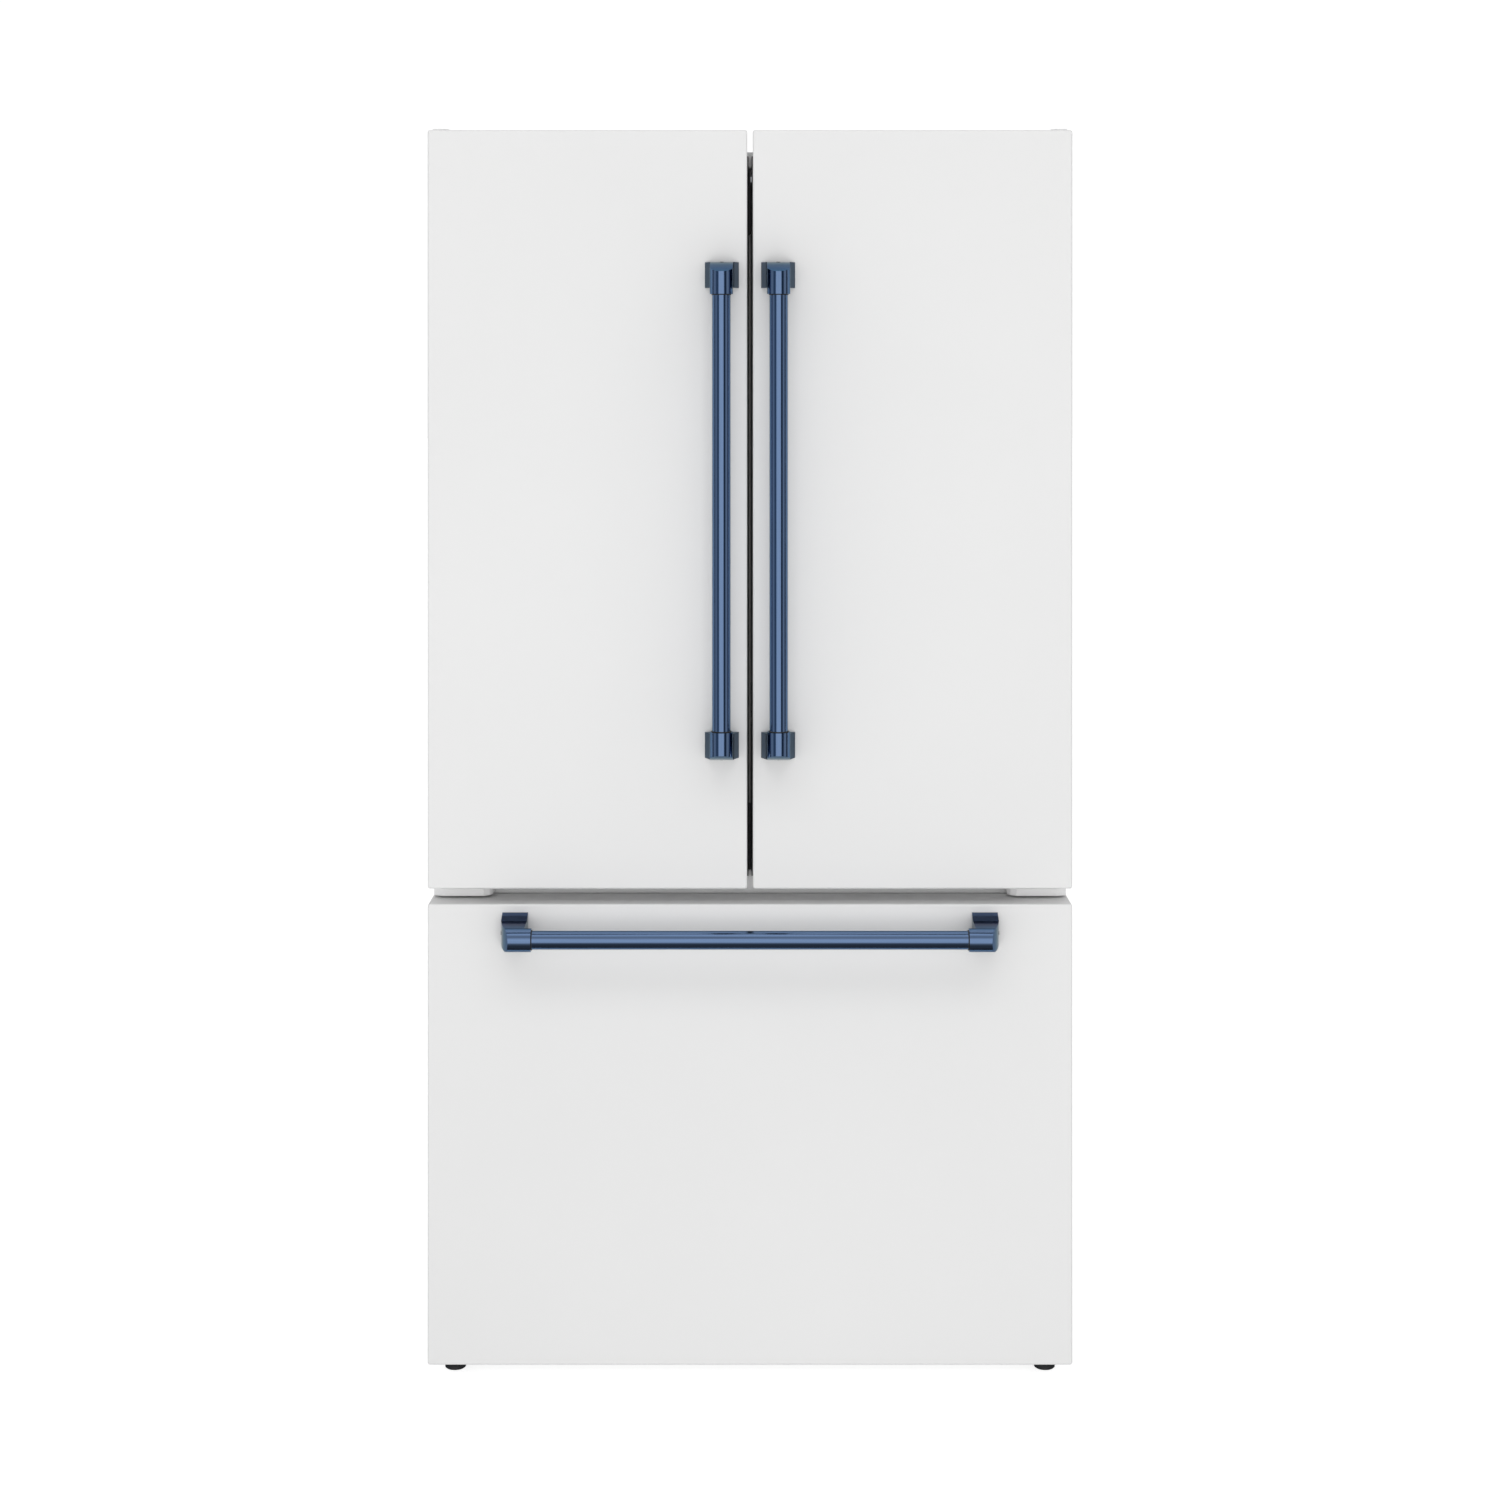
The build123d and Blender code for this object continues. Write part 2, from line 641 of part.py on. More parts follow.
def freezer_basket():
    """The deep lower basket, with upright slots in its front and back."""
    half = 345.0
    slot_count = 14
    slot_width = 16.0
    slot_spacing = 48.0
    y_range = (DOOR_BACK_Y + DRAWER_DYKE_HEIGHT + 2, 70)
    basket = open_box((-half, half), y_range, (BASKET_BOTTOM, BASKET_TOP), BIN_WALL, 16)
    slot_y = (y_range[0] - 1, y_range[1] + 1)
    slot_z = (BASKET_BOTTOM + 50, BASKET_TOP - 40)
    for index in range(slot_count):
        x = (index - (slot_count - 1) / 2) * slot_spacing
        basket -= block_about(x, slot_width, slot_y, slot_z)
    tab = block((half - 1, RAIL_INNER_X - SIDE_GAP), (-40, 40), (BASKET_TOP - 12, BASKET_TOP - 8))
    for side in SIDES:
        basket += sided(tab, side)
    return basket


def freezer_tray():
    """The shallow upper tray that slides back over the basket on the drawer's rails."""
    half = 362.0
    corner = 14.0
    y_range = (-209, 104)
    tray = open_box((-half, half), y_range, (TRAY_BOTTOM, TRAY_TOP), BIN_WALL, corner)
    ledge_y = (y_range[0] + corner, y_range[1] - corner)
    ledge = block((half - 1, RAIL_INNER_X + 5), ledge_y, (TRAY_BOTTOM, TRAY_BOTTOM + 4))
    for side in SIDES:
        tray += sided(ledge, side)
    return tray


def freezer_back_cover():
    """The cover in front of the evaporator, with air outlets and the fan's motor mount."""
    thickness = 3.0
    outlet_width = 56.0
    outlet_half_height = 8.0
    arm_half_height = 5.0
    arm_rear = 304.0
    y_range = (BACK_COVER_Y, BACK_COVER_Y + thickness)
    z_range = (FREEZER_STEP_Z + PLASTIC + 1, FREEZER_TOP - PLASTIC - 1)
    half = FREEZER_HALF - PLASTIC - 1
    cover = block((-half, half), y_range, z_range)
    cover -= rod((0, BACK_COVER_Y, EVAPORATOR_FAN_Z), EVAPORATOR_FAN_RADIUS + 2, 20, "y")
    outlet_y = (BACK_COVER_Y - 1, BACK_COVER_Y + thickness + 1)
    outlet_z = (EVAPORATOR_FAN_Z - outlet_half_height, EVAPORATOR_FAN_Z + outlet_half_height)
    for x in (-300, -220, -140, 140, 220, 300):
        cover -= block_about(x, outlet_width, outlet_y, outlet_z)
    motor = rod((0, arm_rear, EVAPORATOR_FAN_Z), 17, 16, "y")
    motor += rod((0, 289, EVAPORATOR_FAN_Z), FAN_SHAFT_RADIUS, 18, "y")
    reach = EVAPORATOR_FAN_RADIUS + 8
    arm_z = (EVAPORATOR_FAN_Z - arm_half_height, EVAPORATOR_FAN_Z + arm_half_height)
    motor += block((-reach, reach), (arm_rear - 4, arm_rear), arm_z)
    post = block((reach - 4, reach), (y_range[1] - 1, arm_rear), arm_z)
    for side in SIDES:
        motor += sided(post, side)
    return cover + motor


def fan(radius, blades, width):
    """A bladed rotor about its own Z axis, with a bore for its shaft."""
    hub_radius = radius * 0.3
    pitch_angle = 28
    blade_thickness = 1.6
    rotor = Cylinder(hub_radius, width)
    for index in range(blades):
        blade = Pos((radius + hub_radius) / 2 - 1, 0, 0) * Rot(pitch_angle, 0, 0)
        blade = blade * Box(radius - hub_radius, radius * 0.55, blade_thickness)
        rotor += Rot(0, 0, index * 360 / blades) * blade
    return rotor - Cylinder(FAN_SHAFT_RADIUS + RUNNING_GAP, width + 2)


def evaporator_fan():
    """The fan that blows air through the freezer."""
    return Pos(0, 285, EVAPORATOR_FAN_Z) * Rot(90, 0, 0) * fan(EVAPORATOR_FAN_RADIUS - 4, 7, 12)


def evaporator():
    """The finned evaporator: plates on looping tubes."""
    half = 252.0
    fin_spacing = 24.0
    fin_count = 22
    tube_rows = 5
    tube_radius = 4.0
    bottom = EVAPORATOR_FAN_Z - 216
    fin_y = (290, 320)
    coil = block((-half, half), (fin_y[0], fin_y[0] + 4), (bottom, bottom + 4))
    for row in range(tube_rows):
        z = bottom + 16 + row * 28
        coil += rod((0, sum(fin_y) / 2, z), tube_radius, 2 * half + 16, "x")
    for index in range(fin_count):
        x = -half + index * fin_spacing
        coil += block_about(x, STEEL, fin_y, (bottom, bottom + 140))
    return coil


def compressor():
    """The domed compressor shell on its foot plate, with three pipe stubs."""
    x, y = 255.0, 255.0
    radius = 72.0
    waist = (73.0, 143.0)
    plate_z = (46.0, 50.0)
    floor = CABINET_BOTTOM + STEEL
    shell = rod((x, y, sum(waist) / 2), radius, waist[1] - waist[0])
    shell += Pos(x, y, waist[1]) * scale(Sphere(radius), by=(1, 1, 0.62))
    shell += Pos(x, y, waist[0]) * scale(Sphere(radius), by=(1, 1, 0.45))
    shell += block((x - 95, x + 95), (y - 60, y + 60), plate_z)
    shell += rod((x, y, 62), 30, 30)
    for dx in (-80, 80):
        for dy in (-45, 45):
            shell += rod((x + dx, y + dy, (floor + plate_z[0]) / 2), 11, plate_z[0] - floor)
    for dx in (-30, 0, 30):
        shell += rod((x + dx, y - 60, 200 - abs(dx)), 4, 80)
    return shell


def condenser():
    """The condenser coil block and the shroud that carries the fan's motor."""
    end_plate = 4.0
    left, right = -400.0, -136.0
    z_range = (CABINET_BOTTOM + STEEL, 240)
    coil_y = (150, 300)
    coil = block((left, left + end_plate), coil_y, z_range)
    coil += block((right - end_plate, right), coil_y, z_range)
    for row in range(7):
        for y in (170, 210, 250, 280):
            coil += rod(((left + right) / 2, y, 56 + row * 28), 3, right - left - 2, "x")
    for index in range(16):
        x = left + 12 + index * 16
        coil += block_about(x, STEEL, (coil_y[0] + 5, coil_y[1] - 5), (45, z_range[1] - 4))
    shroud_x = (CONDENSER_FAN_X - 34, CONDENSER_FAN_X - 31)
    shroud_y = (170, 340)
    shroud = block(shroud_x, shroud_y, z_range)
    shroud -= rod((CONDENSER_FAN_X, CONDENSER_FAN_Y, CONDENSER_FAN_Z), CONDENSER_FAN_RADIUS, 90, "x")
    shroud += block(shroud_x, shroud_y, (CONDENSER_FAN_Z - 5, CONDENSER_FAN_Z + 5))
    shroud += rod((CONDENSER_FAN_X - 26, CONDENSER_FAN_Y, CONDENSER_FAN_Z), 20, 18, "x")
    shroud += rod((CONDENSER_FAN_X - 4, CONDENSER_FAN_Y, CONDENSER_FAN_Z), FAN_SHAFT_RADIUS, 32, "x")
    return [coil, shroud]


def condenser_fan():
    """The fan that cools the condenser and the compressor."""
    place = Pos(CONDENSER_FAN_X, CONDENSER_FAN_Y, CONDENSER_FAN_Z) * Rot(0, 90, 0)
    return place * fan(CONDENSER_FAN_RADIUS - 5, 5, 20)


def machine_room_cover():
    """The louvred rear cover, with the power inlet's recess."""
    y_range = (REAR_Y - 2 * STEEL, REAR_Y - STEEL)
    cut_y = (REAR_Y - 8, REAR_Y)
    half = CABINET_HALF_WIDTH - REAR_COVER_INSET
    louvre_width = 96.0
    louvre_pitch = 22.0
    cover = block((-half, half), y_range, (CABINET_BOTTOM + 4, MACHINE_TOP))
    for row in range(9):
        for x in (-300, -180, -60, 180, 300):
            z = 80 + row * louvre_pitch
            cover -= block_about(x, louvre_width, cut_y, (z - 3, z + 3))
    cover -= block_about(INLET_X, INLET_WIDTH, cut_y, INLET_Z)
    return cover + power_inlet()


def power_inlet():
    """A recessed three-pin power inlet."""
    wall = 6.0
    pin_width = 6.0
    pin_y = (REAR_Y - 23, REAR_Y - 8)
    recess_z = (INLET_Z[0] + wall, INLET_Z[1] - wall)
    inlet = block_about(INLET_X, INLET_WIDTH, (REAR_Y - 26, REAR_Y - STEEL), INLET_Z)
    inlet -= block_about(INLET_X, INLET_WIDTH - 2 * wall, (REAR_Y - 22, REAR_Y), recess_z)
    for x, z in ((INLET_X - 8, 105), (INLET_X + 8, 105), (INLET_X, 112)):
        inlet += block_about(x, pin_width, pin_y, (z - 1, z + 1))
    return inlet


def roller_axles():
    """The two rear roller axles."""
    length = ROLLER_WIDTH + 14
    return [rod((side * ROLLER_X, ROLLER_Y, ROLLER_RADIUS), AXLE_RADIUS, length, "x") for side in SIDES]


def roller(side):
    """A rear roller with rounded edges, running on its axle."""
    wheel = rod((side * ROLLER_X, ROLLER_Y, ROLLER_RADIUS), ROLLER_RADIUS, ROLLER_WIDTH, "x")
    wheel = fillet(wheel.edges(), 2)
    bore = rod((side * ROLLER_X, ROLLER_Y, ROLLER_RADIUS), AXLE_RADIUS + RUNNING_GAP, 40, "x")
    return wheel - bore


def levelling_foot(side):
    """A front foot: a round pad with a hexagon above it and a threaded stem."""
    x = side * FOOT_X
    pad_height = 7.0
    nut_radius = 9.0
    nut_height = 6.0
    stem_z = (8.0, 28.0)
    pad = rod((x, FOOT_Y, pad_height / 2), FOOT_RADIUS, pad_height)
    pad = chamfer(pad.edges().group_by(Axis.Z)[-1], 2)
    pad += Pos(x, FOOT_Y, pad_height) * extrude(RegularPolygon(nut_radius, 6), nut_height)
    return pad + rod((x, FOOT_Y, sum(stem_z) / 2), FOOT_STEM_RADIUS, stem_z[1] - stem_z[0])


# ---- doors -----------------------------------------------------------------------------------
def pan(x_range, z_range):
    """A folded steel front: a shallow pan with rounded edges, open at the back."""
    outer = block(x_range, (DOOR_FACE_Y, DOOR_BACK_Y), z_range)
    outer = fillet(outer.edges().filter_by(Axis.Y), SKIN_CORNER_RADIUS)
    outer = fillet(outer.faces().sort_by(Axis.Y)[0].edges(), SKIN_EDGE_RADIUS - 1)
    return outer - pan_hollow(x_range, z_range, 1)


def pan_hollow(x_range, z_range, extra=0):
    """The space inside a pan, running past its open back by an extra length."""
    hollow = block(
        (x_range[0] + SKIN, x_range[1] - SKIN),
        (DOOR_FACE_Y + SKIN, DOOR_BACK_Y + extra),
        (z_range[0] + SKIN, z_range[1] - SKIN),
    )
    hollow = fillet(hollow.edges().filter_by(Axis.Y), SKIN_CORNER_RADIUS - SKIN)
    return fillet(hollow.faces().sort_by(Axis.Y)[0].edges(), SKIN_EDGE_RADIUS - SKIN - 1)


def door_panel(side):
    """A door's painted steel skin, with clearance holes for the hinge pins."""
    skin = pan(DOOR_X, DOOR_Z)
    for z in DOOR_Z:
        skin -= rod((HINGE_X, HINGE_Y, z), HINGE_PIN_RADIUS + 1.5, 6)
    return sided(skin, side)


def hinge_blocks(side):
    """The reinforcing blocks that the hinge pins run in, at the door's top and bottom."""
    low = (DOOR_BOTTOM + SKIN, DOOR_BOTTOM + HINGE_BLOCK_HEIGHT)
    high = (DOOR_TOP - HINGE_BLOCK_HEIGHT, DOOR_TOP - SKIN)
    blocks = []
    for z_range in (low, high):
        shape = block(HINGE_BLOCK_X, HINGE_BLOCK_Y, z_range)
        shape -= rod((HINGE_X, HINGE_Y, sum(z_range) / 2), HINGE_PIN_RADIUS + RUNNING_GAP, 60)
        blocks.append(sided(shape, side))
    return blocks


def dyke_cavity(x_range, z_range, height):
    """The hollow behind the liner's raised frame, which the foam fills."""
    y_range = (DOOR_BACK_Y - PLASTIC, DOOR_BACK_Y + height - PLASTIC)
    inside = [(low + PLASTIC, high - PLASTIC) for low, high in (x_range, z_range)]
    return ring(inside[0], y_range, inside[1], DYKE_WIDTH - 2 * PLASTIC)


def inner_panel(x_range, z_range, dyke_x, dyke_z, height):
    """A plastic inner panel with a raised frame around its middle."""
    plate = pan_hollow(x_range, z_range)
    plate = plate & block(x_range, (DOOR_BACK_Y - PLASTIC, DOOR_BACK_Y), z_range)
    raised = ring(dyke_x, (DOOR_BACK_Y - PLASTIC, DOOR_BACK_Y + height), dyke_z, DYKE_WIDTH)
    return plate + raised - dyke_cavity(dyke_x, dyke_z, height)


def door_liner(side):
    """A door's inner panel, with side knobs that hold the bins."""
    knob_reach = 4.0
    knob_y = (DOOR_BACK_Y + 4, DOOR_BACK_Y + 24)
    near = DYKE_INNER_X + DYKE_WIDTH
    far = DYKE_OUTER_X - DYKE_WIDTH
    liner = inner_panel(DOOR_X, DOOR_Z, DOOR_DYKE_X, DOOR_DYKE_Z, DYKE_HEIGHT)
    for z in BIN_HEIGHTS:
        for x_range in ((near - 0.5, near + knob_reach), (far - knob_reach, far + 0.5)):
            liner += block(x_range, knob_y, (z - 8, z - 0.5))
    return sided(liner, side)


def foam_fill(x_range, z_range, dyke_x, dyke_z, height):
    """The foam between a pan and its inner panel."""
    fill = pan_hollow(x_range, z_range)
    fill -= block(x_range, (DOOR_BACK_Y - PLASTIC, DOOR_BACK_Y + 1), z_range)
    return fill + dyke_cavity(dyke_x, dyke_z, height)


def door_foam(side):
    """A door's foam, cut away around the hinge blocks."""
    fill = foam_fill(DOOR_X, DOOR_Z, DOOR_DYKE_X, DOOR_DYKE_Z, DYKE_HEIGHT)
    low = (DOOR_BOTTOM, DOOR_BOTTOM + HINGE_BLOCK_HEIGHT)
    high = (DOOR_TOP - HINGE_BLOCK_HEIGHT, DOOR_TOP)
    for z_range in (low, high):
        fill -= block((HINGE_BLOCK_X[0], HALF_WIDTH), HINGE_BLOCK_Y, z_range)
    return sided(fill, side)


def door_gasket(side):
    """A door's magnetic gasket, a soft frame that meets the cabinet's front."""
    y_range = (DOOR_BACK_Y, CABINET_FRONT_Y - SEAL_CLEARANCE)
    z_range = (DOOR_BOTTOM + 2, CABINET_TOP - 6)
    return sided(ring((GASKET_INNER_X, GASKET_OUTER_X), y_range, z_range, GASKET_WIDTH), side)


def door_bins(side):
    """The three bins that hang inside a door."""
    x_range = (DYKE_INNER_X + DYKE_WIDTH + 0.5, DYKE_OUTER_X - DYKE_WIDTH - 0.5)
    y_range = (DOOR_BACK_Y + 0.5, DOOR_BACK_Y + BIN_REACH)
    bins = []
    for z in BIN_HEIGHTS:
        shape = open_box(x_range, y_range, (z, z + BIN_HEIGHT), BIN_WALL, 10)
        bins.append(sided(shape, side))
    return bins


def mullion_hinges():
    """The two arms on the left door that carry the flip mullion on pins."""
    arm_width = 10.0
    arm_y = (DOOR_BACK_Y, MULLION_PIVOT_Y + arm_width / 2)
    arms = []
    for z in MULLION_HINGE_HEIGHTS:
        arm = block_about(MULLION_PIVOT_X, arm_width, arm_y, (z - MULLION_ARM_HALF, z + MULLION_ARM_HALF))
        arms.append(arm + rod((MULLION_PIVOT_X, MULLION_PIVOT_Y, z), MULLION_PIN_RADIUS, 50))
    return arms


def flip_mullion():
    """The flip mullion: an upright bar with end caps, which folds as the left door opens."""
    rear = MULLION_FRONT_Y + MULLION_DEPTH
    points = [
        (MULLION_LEFT, MULLION_FRONT_Y + 2),
        (MULLION_LEFT + 2, MULLION_FRONT_Y),
        (MULLION_RIGHT, MULLION_FRONT_Y),
        (MULLION_RIGHT, MULLION_FRONT_Y + 6),
        (MULLION_RIGHT - 10, rear),
        (MULLION_LEFT + 2, rear),
        (MULLION_LEFT, rear - 2),
    ]
    bar = prism_z(points, (MULLION_BOTTOM, MULLION_TOP))
    notch_x = (MULLION_LEFT - 1, MULLION_PIVOT_X + 9)
    notch_y = (MULLION_FRONT_Y - 1, rear + 1)
    notch_half = MULLION_ARM_HALF + 0.5
    for z in MULLION_HINGE_HEIGHTS:
        bar -= block(notch_x, notch_y, (z - notch_half, z + notch_half))
        bar -= rod((MULLION_PIVOT_X, MULLION_PIVOT_Y, z), MULLION_PIN_RADIUS + RUNNING_GAP, 52)
    return bar


# ---- freezer drawer --------------------------------------------------------------------------
def drawer_panel():
    """The freezer drawer's painted steel skin."""
    return pan(DRAWER_X, DRAWER_Z)


def drawer_foam():
    """The freezer drawer's foam."""
    return foam_fill(DRAWER_X, DRAWER_Z, DRAWER_DYKE_X, DRAWER_DYKE_Z, DRAWER_DYKE_HEIGHT)


def drawer_liner():
    """The freezer drawer's inner panel."""
    return inner_panel(DRAWER_X, DRAWER_Z, DRAWER_DYKE_X, DRAWER_DYKE_Z, DRAWER_DYKE_HEIGHT)


def drawer_gasket():
    """The freezer drawer's magnetic gasket."""
    y_range = (DOOR_BACK_Y, CABINET_FRONT_Y - SEAL_CLEARANCE)
    return ring((-GASKET_OUTER_X, GASKET_OUTER_X), y_range, DRAWER_GASKET_Z, GASKET_WIDTH)


# ---- handles, built along Z about the origin, standing off towards -Y ------------------------
def bracket_section():
    """The bracket's outline across the bar: wide foot, narrow post, round crown."""
    half_foot = BRACKET_BASE_ACROSS / 2
    lines = Polyline(
        (-SLEEVE_RADIUS, -HANDLE_AXIS_REACH),
        (-SLEEVE_RADIUS, -BRACKET_FLANK_REACH),
        (-half_foot, 0),
        (half_foot, 0),
        (SLEEVE_RADIUS, -BRACKET_FLANK_REACH),
        (SLEEVE_RADIUS, -HANDLE_AXIS_REACH),
    )
    crown = ThreePointArc(
        (SLEEVE_RADIUS, -HANDLE_AXIS_REACH),
        (0, -HANDLE_AXIS_REACH - SLEEVE_RADIUS),
        (-SLEEVE_RADIUS, -HANDLE_AXIS_REACH),
    )
    return make_face([lines, crown])


def bracket_profile():
    """The bracket's outline along the bar, with a concave outer end."""
    half = BRACKET_BASE_ALONG / 2
    half_width = 30.0
    tip = (-half_width, -HANDLE_REACH, half - BRACKET_COVE_INSET)
    shoulder = (-half_width, -BRACKET_FLANK_REACH, half)
    cove_middle = (-half_width, -46, half - 4.2)
    lines = Polyline(
        tip,
        (-half_width, -HANDLE_REACH, -half),
        (-half_width, 0, -half),
        (-half_width, 0, half),
        shoulder,
    )
    cove = ThreePointArc(shoulder, cove_middle, tip)
    return extrude(make_face([lines, cove]), 2 * half_width, dir=(1, 0, 0))


def handle_bracket():
    """One bracket, its outer end towards +Z, with a bore for the bar and a set-screw hole."""
    half = BRACKET_BASE_ALONG / 2
    body = Pos(0, 0, -half) * extrude(bracket_section(), BRACKET_BASE_ALONG)
    body = body & bracket_profile()
    overhang = (0, -HANDLE_AXIS_REACH, -half - SLEEVE_OVERHANG / 2 + 1)
    body += rod(overhang, SLEEVE_RADIUS, SLEEVE_OVERHANG + 2)
    mouth = -half - SLEEVE_OVERHANG
    bore_centre = (0, -HANDLE_AXIS_REACH, mouth + BAR_ENTRY / 2)
    body -= rod(bore_centre, HANDLE_BAR_RADIUS + RUNNING_GAP, BAR_ENTRY + 1)
    lead_in = 1.6
    body -= Pos(0, -HANDLE_AXIS_REACH, mouth + lead_in / 2) * Cone(
        HANDLE_BAR_RADIUS + lead_in, HANDLE_BAR_RADIUS, lead_in
    )
    return body - rod((0, -BRACKET_FLANK_REACH / 2, half), SET_SCREW_RADIUS, 10)


def bracket_pair():
    """The two brackets of a handle that stands upright."""
    upper = Pos(0, 0, HANDLE_SPACING / 2) * handle_bracket()
    return [upper, mirror(upper, about=Plane.XY)]


def bar():
    """The handle's bar, ending inside both sleeves."""
    reach = BRACKET_BASE_ALONG / 2 + SLEEVE_OVERHANG - BAR_ENTRY
    length = HANDLE_SPACING - 2 * reach
    round_bar = rod((0, -HANDLE_AXIS_REACH, 0), HANDLE_BAR_RADIUS, length - 1)
    return [chamfer(round_bar.edges(), 0.8)]


def on_door(shapes, side):
    """Places an upright handle's pieces on one door."""
    return [Pos(side * DOOR_HANDLE_X, DOOR_FACE_Y, DOOR_HANDLE_Z) * shape for shape in shapes]


def on_drawer(shapes):
    """Lays a handle's pieces across the drawer."""
    place = Pos(0, DOOR_FACE_Y, DRAWER_HANDLE_Z) * Rot(0, 90, 0)
    return [place * shape for shape in shapes]


# ---- every node ------------------------------------------------------------------------------
def nodes():
    """Yields each node's name and its solid or solids."""
    yield "top_panel", top_panel()
    yield "back_panel", back_panel()
    yield "base_pan", base_pan()
    yield "front_rails", front_rails()
    yield "insulation_foam", insulation_foam()
    yield "fresh_food_liner", fresh_food_liner()
    yield "freezer_liner", freezer_liner()
    yield "door_hinges", door_hinges()
    yield "hinge_pins", hinge_pins()
    yield "hinge_covers", hinge_covers()
    yield "glass_shelves", glass_shelves()
    yield "shelf_frames", shelf_frames()
    yield "shelf_ladders", shelf_ladders()
    yield "air_duct_cover", air_duct_cover()
    yield "crisper_cover", crisper_cover()
    yield "freezer_outer_rails", freezer_outer_rails()
    yield "freezer_middle_rails", freezer_middle_rails()
    yield "freezer_back_cover", freezer_back_cover()
    yield "evaporator", evaporator()
    yield "evaporator_fan", evaporator_fan()
    yield "compressor", compressor()
    yield "condenser", condenser()
    yield "condenser_fan", condenser_fan()
    yield "machine_room_cover", machine_room_cover()
    yield "roller_axles", roller_axles()
    for name, side in (("left", -1), ("right", 1)):
        yield f"{name}_side_panel", side_panel(side)
        yield f"{name}_crisper", crisper(side)
        yield f"{name}_roller", roller(side)
        yield f"{name}_foot", levelling_foot(side)
        yield f"{name}_door_panel", door_panel(side)
        yield f"{name}_door_hinge_blocks", hinge_blocks(side)
        yield f"{name}_door_foam", door_foam(side)
        yield f"{name}_door_liner", door_liner(side)
        yield f"{name}_door_gasket", door_gasket(side)
        yield f"{name}_door_bins", door_bins(side)
        yield f"{name}_handle_bar", on_door(bar(), side)
        yield f"{name}_handle_brackets", on_door(bracket_pair(), side)
    yield "mullion_hinges", mullion_hinges()
    yield "flip_mullion", flip_mullion()
    yield "drawer_panel", drawer_panel()
    yield "drawer_foam", drawer_foam()
    yield "drawer_liner", drawer_liner()
    yield "drawer_gasket", drawer_gasket()
    yield "drawer_inner_rails", drawer_inner_rails()
    yield "drawer_handle_bar", on_drawer(bar())
    yield "drawer_handle_brackets", on_drawer(bracket_pair())
    yield "freezer_basket", freezer_basket()
    yield "freezer_tray", freezer_tray()


def main():
    """Writes one STEP file per node."""
    os.makedirs("parts", exist_ok=True)
    for name, shape in nodes():
        if isinstance(shape, list):
            solids = [solid for piece in shape for solid in piece.solids()]
            shape = Compound(children=solids)
        export_step(shape, f"parts/{name}.step")


main()
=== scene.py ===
import math

import bmesh
import bpy
from mathutils import Matrix, Vector


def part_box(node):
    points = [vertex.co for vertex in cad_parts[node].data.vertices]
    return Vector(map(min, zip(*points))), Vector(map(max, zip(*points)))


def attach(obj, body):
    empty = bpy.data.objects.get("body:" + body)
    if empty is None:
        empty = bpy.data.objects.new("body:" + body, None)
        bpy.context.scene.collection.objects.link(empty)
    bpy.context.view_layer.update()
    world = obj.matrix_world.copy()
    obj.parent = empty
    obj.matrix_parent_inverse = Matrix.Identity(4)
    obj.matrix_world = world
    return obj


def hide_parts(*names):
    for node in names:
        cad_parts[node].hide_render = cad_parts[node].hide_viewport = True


# Looks for a white french door refrigerator with metallic blue bar handles.
# Everything is in metres in the CAD frame: +X right, +Y to the back, +Z up, floor at z = 0.

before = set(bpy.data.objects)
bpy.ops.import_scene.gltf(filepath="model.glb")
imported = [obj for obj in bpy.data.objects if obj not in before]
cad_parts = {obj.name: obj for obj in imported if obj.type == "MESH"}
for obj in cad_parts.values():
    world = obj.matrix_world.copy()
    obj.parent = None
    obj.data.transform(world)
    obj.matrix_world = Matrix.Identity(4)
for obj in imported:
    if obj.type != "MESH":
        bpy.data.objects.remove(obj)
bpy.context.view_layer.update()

MM = 0.001
SIDES = (-1, 1)
SMOOTH_ANGLE = math.radians(32)
BEVEL_ANGLE = math.radians(40)
LINER_THICKNESS = 2.0 * MM
# How far most trims reach into what they sit on.
TRIM_SUNK = 2 * MM
DOOR_FACE_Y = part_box("drawer_panel")[0].y
CEILING_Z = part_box("fresh_food_liner")[1].z - LINER_THICKNESS

# ---- colours, linear -------------------------------------------------------------------------
WHITE_ENAMEL = (0.865, 0.865, 0.863)
# Painted light: a lighter copy of the white enamel for the front rails and hinges, which sit in the shaded
# gaps.
GAP_LIT_ENAMEL = (0.94, 0.94, 0.94)
CABINET_ENAMEL = (0.62, 0.625, 0.63)
BLUE_METAL = (0.128, 0.203, 0.355)
BLUE_EDGE = (0.12, 0.26, 0.34)
# Painted shade: the brackets' feet are darkened towards the door, and the upright ones are greyer as well.
UPRIGHT_FOOT_SHADE = (0.15, 0.16, 0.195)
ACROSS_FOOT_SHADE = (0.058, 0.088, 0.165)
LINER_WHITE = (0.83, 0.84, 0.845)
GASKET_BLACK = (0.012, 0.012, 0.013)
MULLION_BLACK = (0.018, 0.018, 0.020)
MULLION_GREY = (0.06, 0.06, 0.066)
FOAM_DARK = (0.62, 0.50, 0.26)
FOAM_LIGHT = (0.74, 0.64, 0.38)
LENS_DARK = (0.84, 0.86, 0.88)
LENS_LIGHT = (0.92, 0.93, 0.94)
LAMP_COOL = (0.86, 0.92, 1.0)
LAMP_WARM = (0.97, 0.98, 1.0)
FLOOR_GREY = (0.50, 0.50, 0.50)

# ---- gaskets, handles and mullion ------------------------------------------------------------
GASKET_WIDTH = 15 * MM
# How fine the blue metal's grain is across and along, as a scale of its noise.
GRAIN_ACROSS = 900.0
GRAIN_ALONG = 9.0
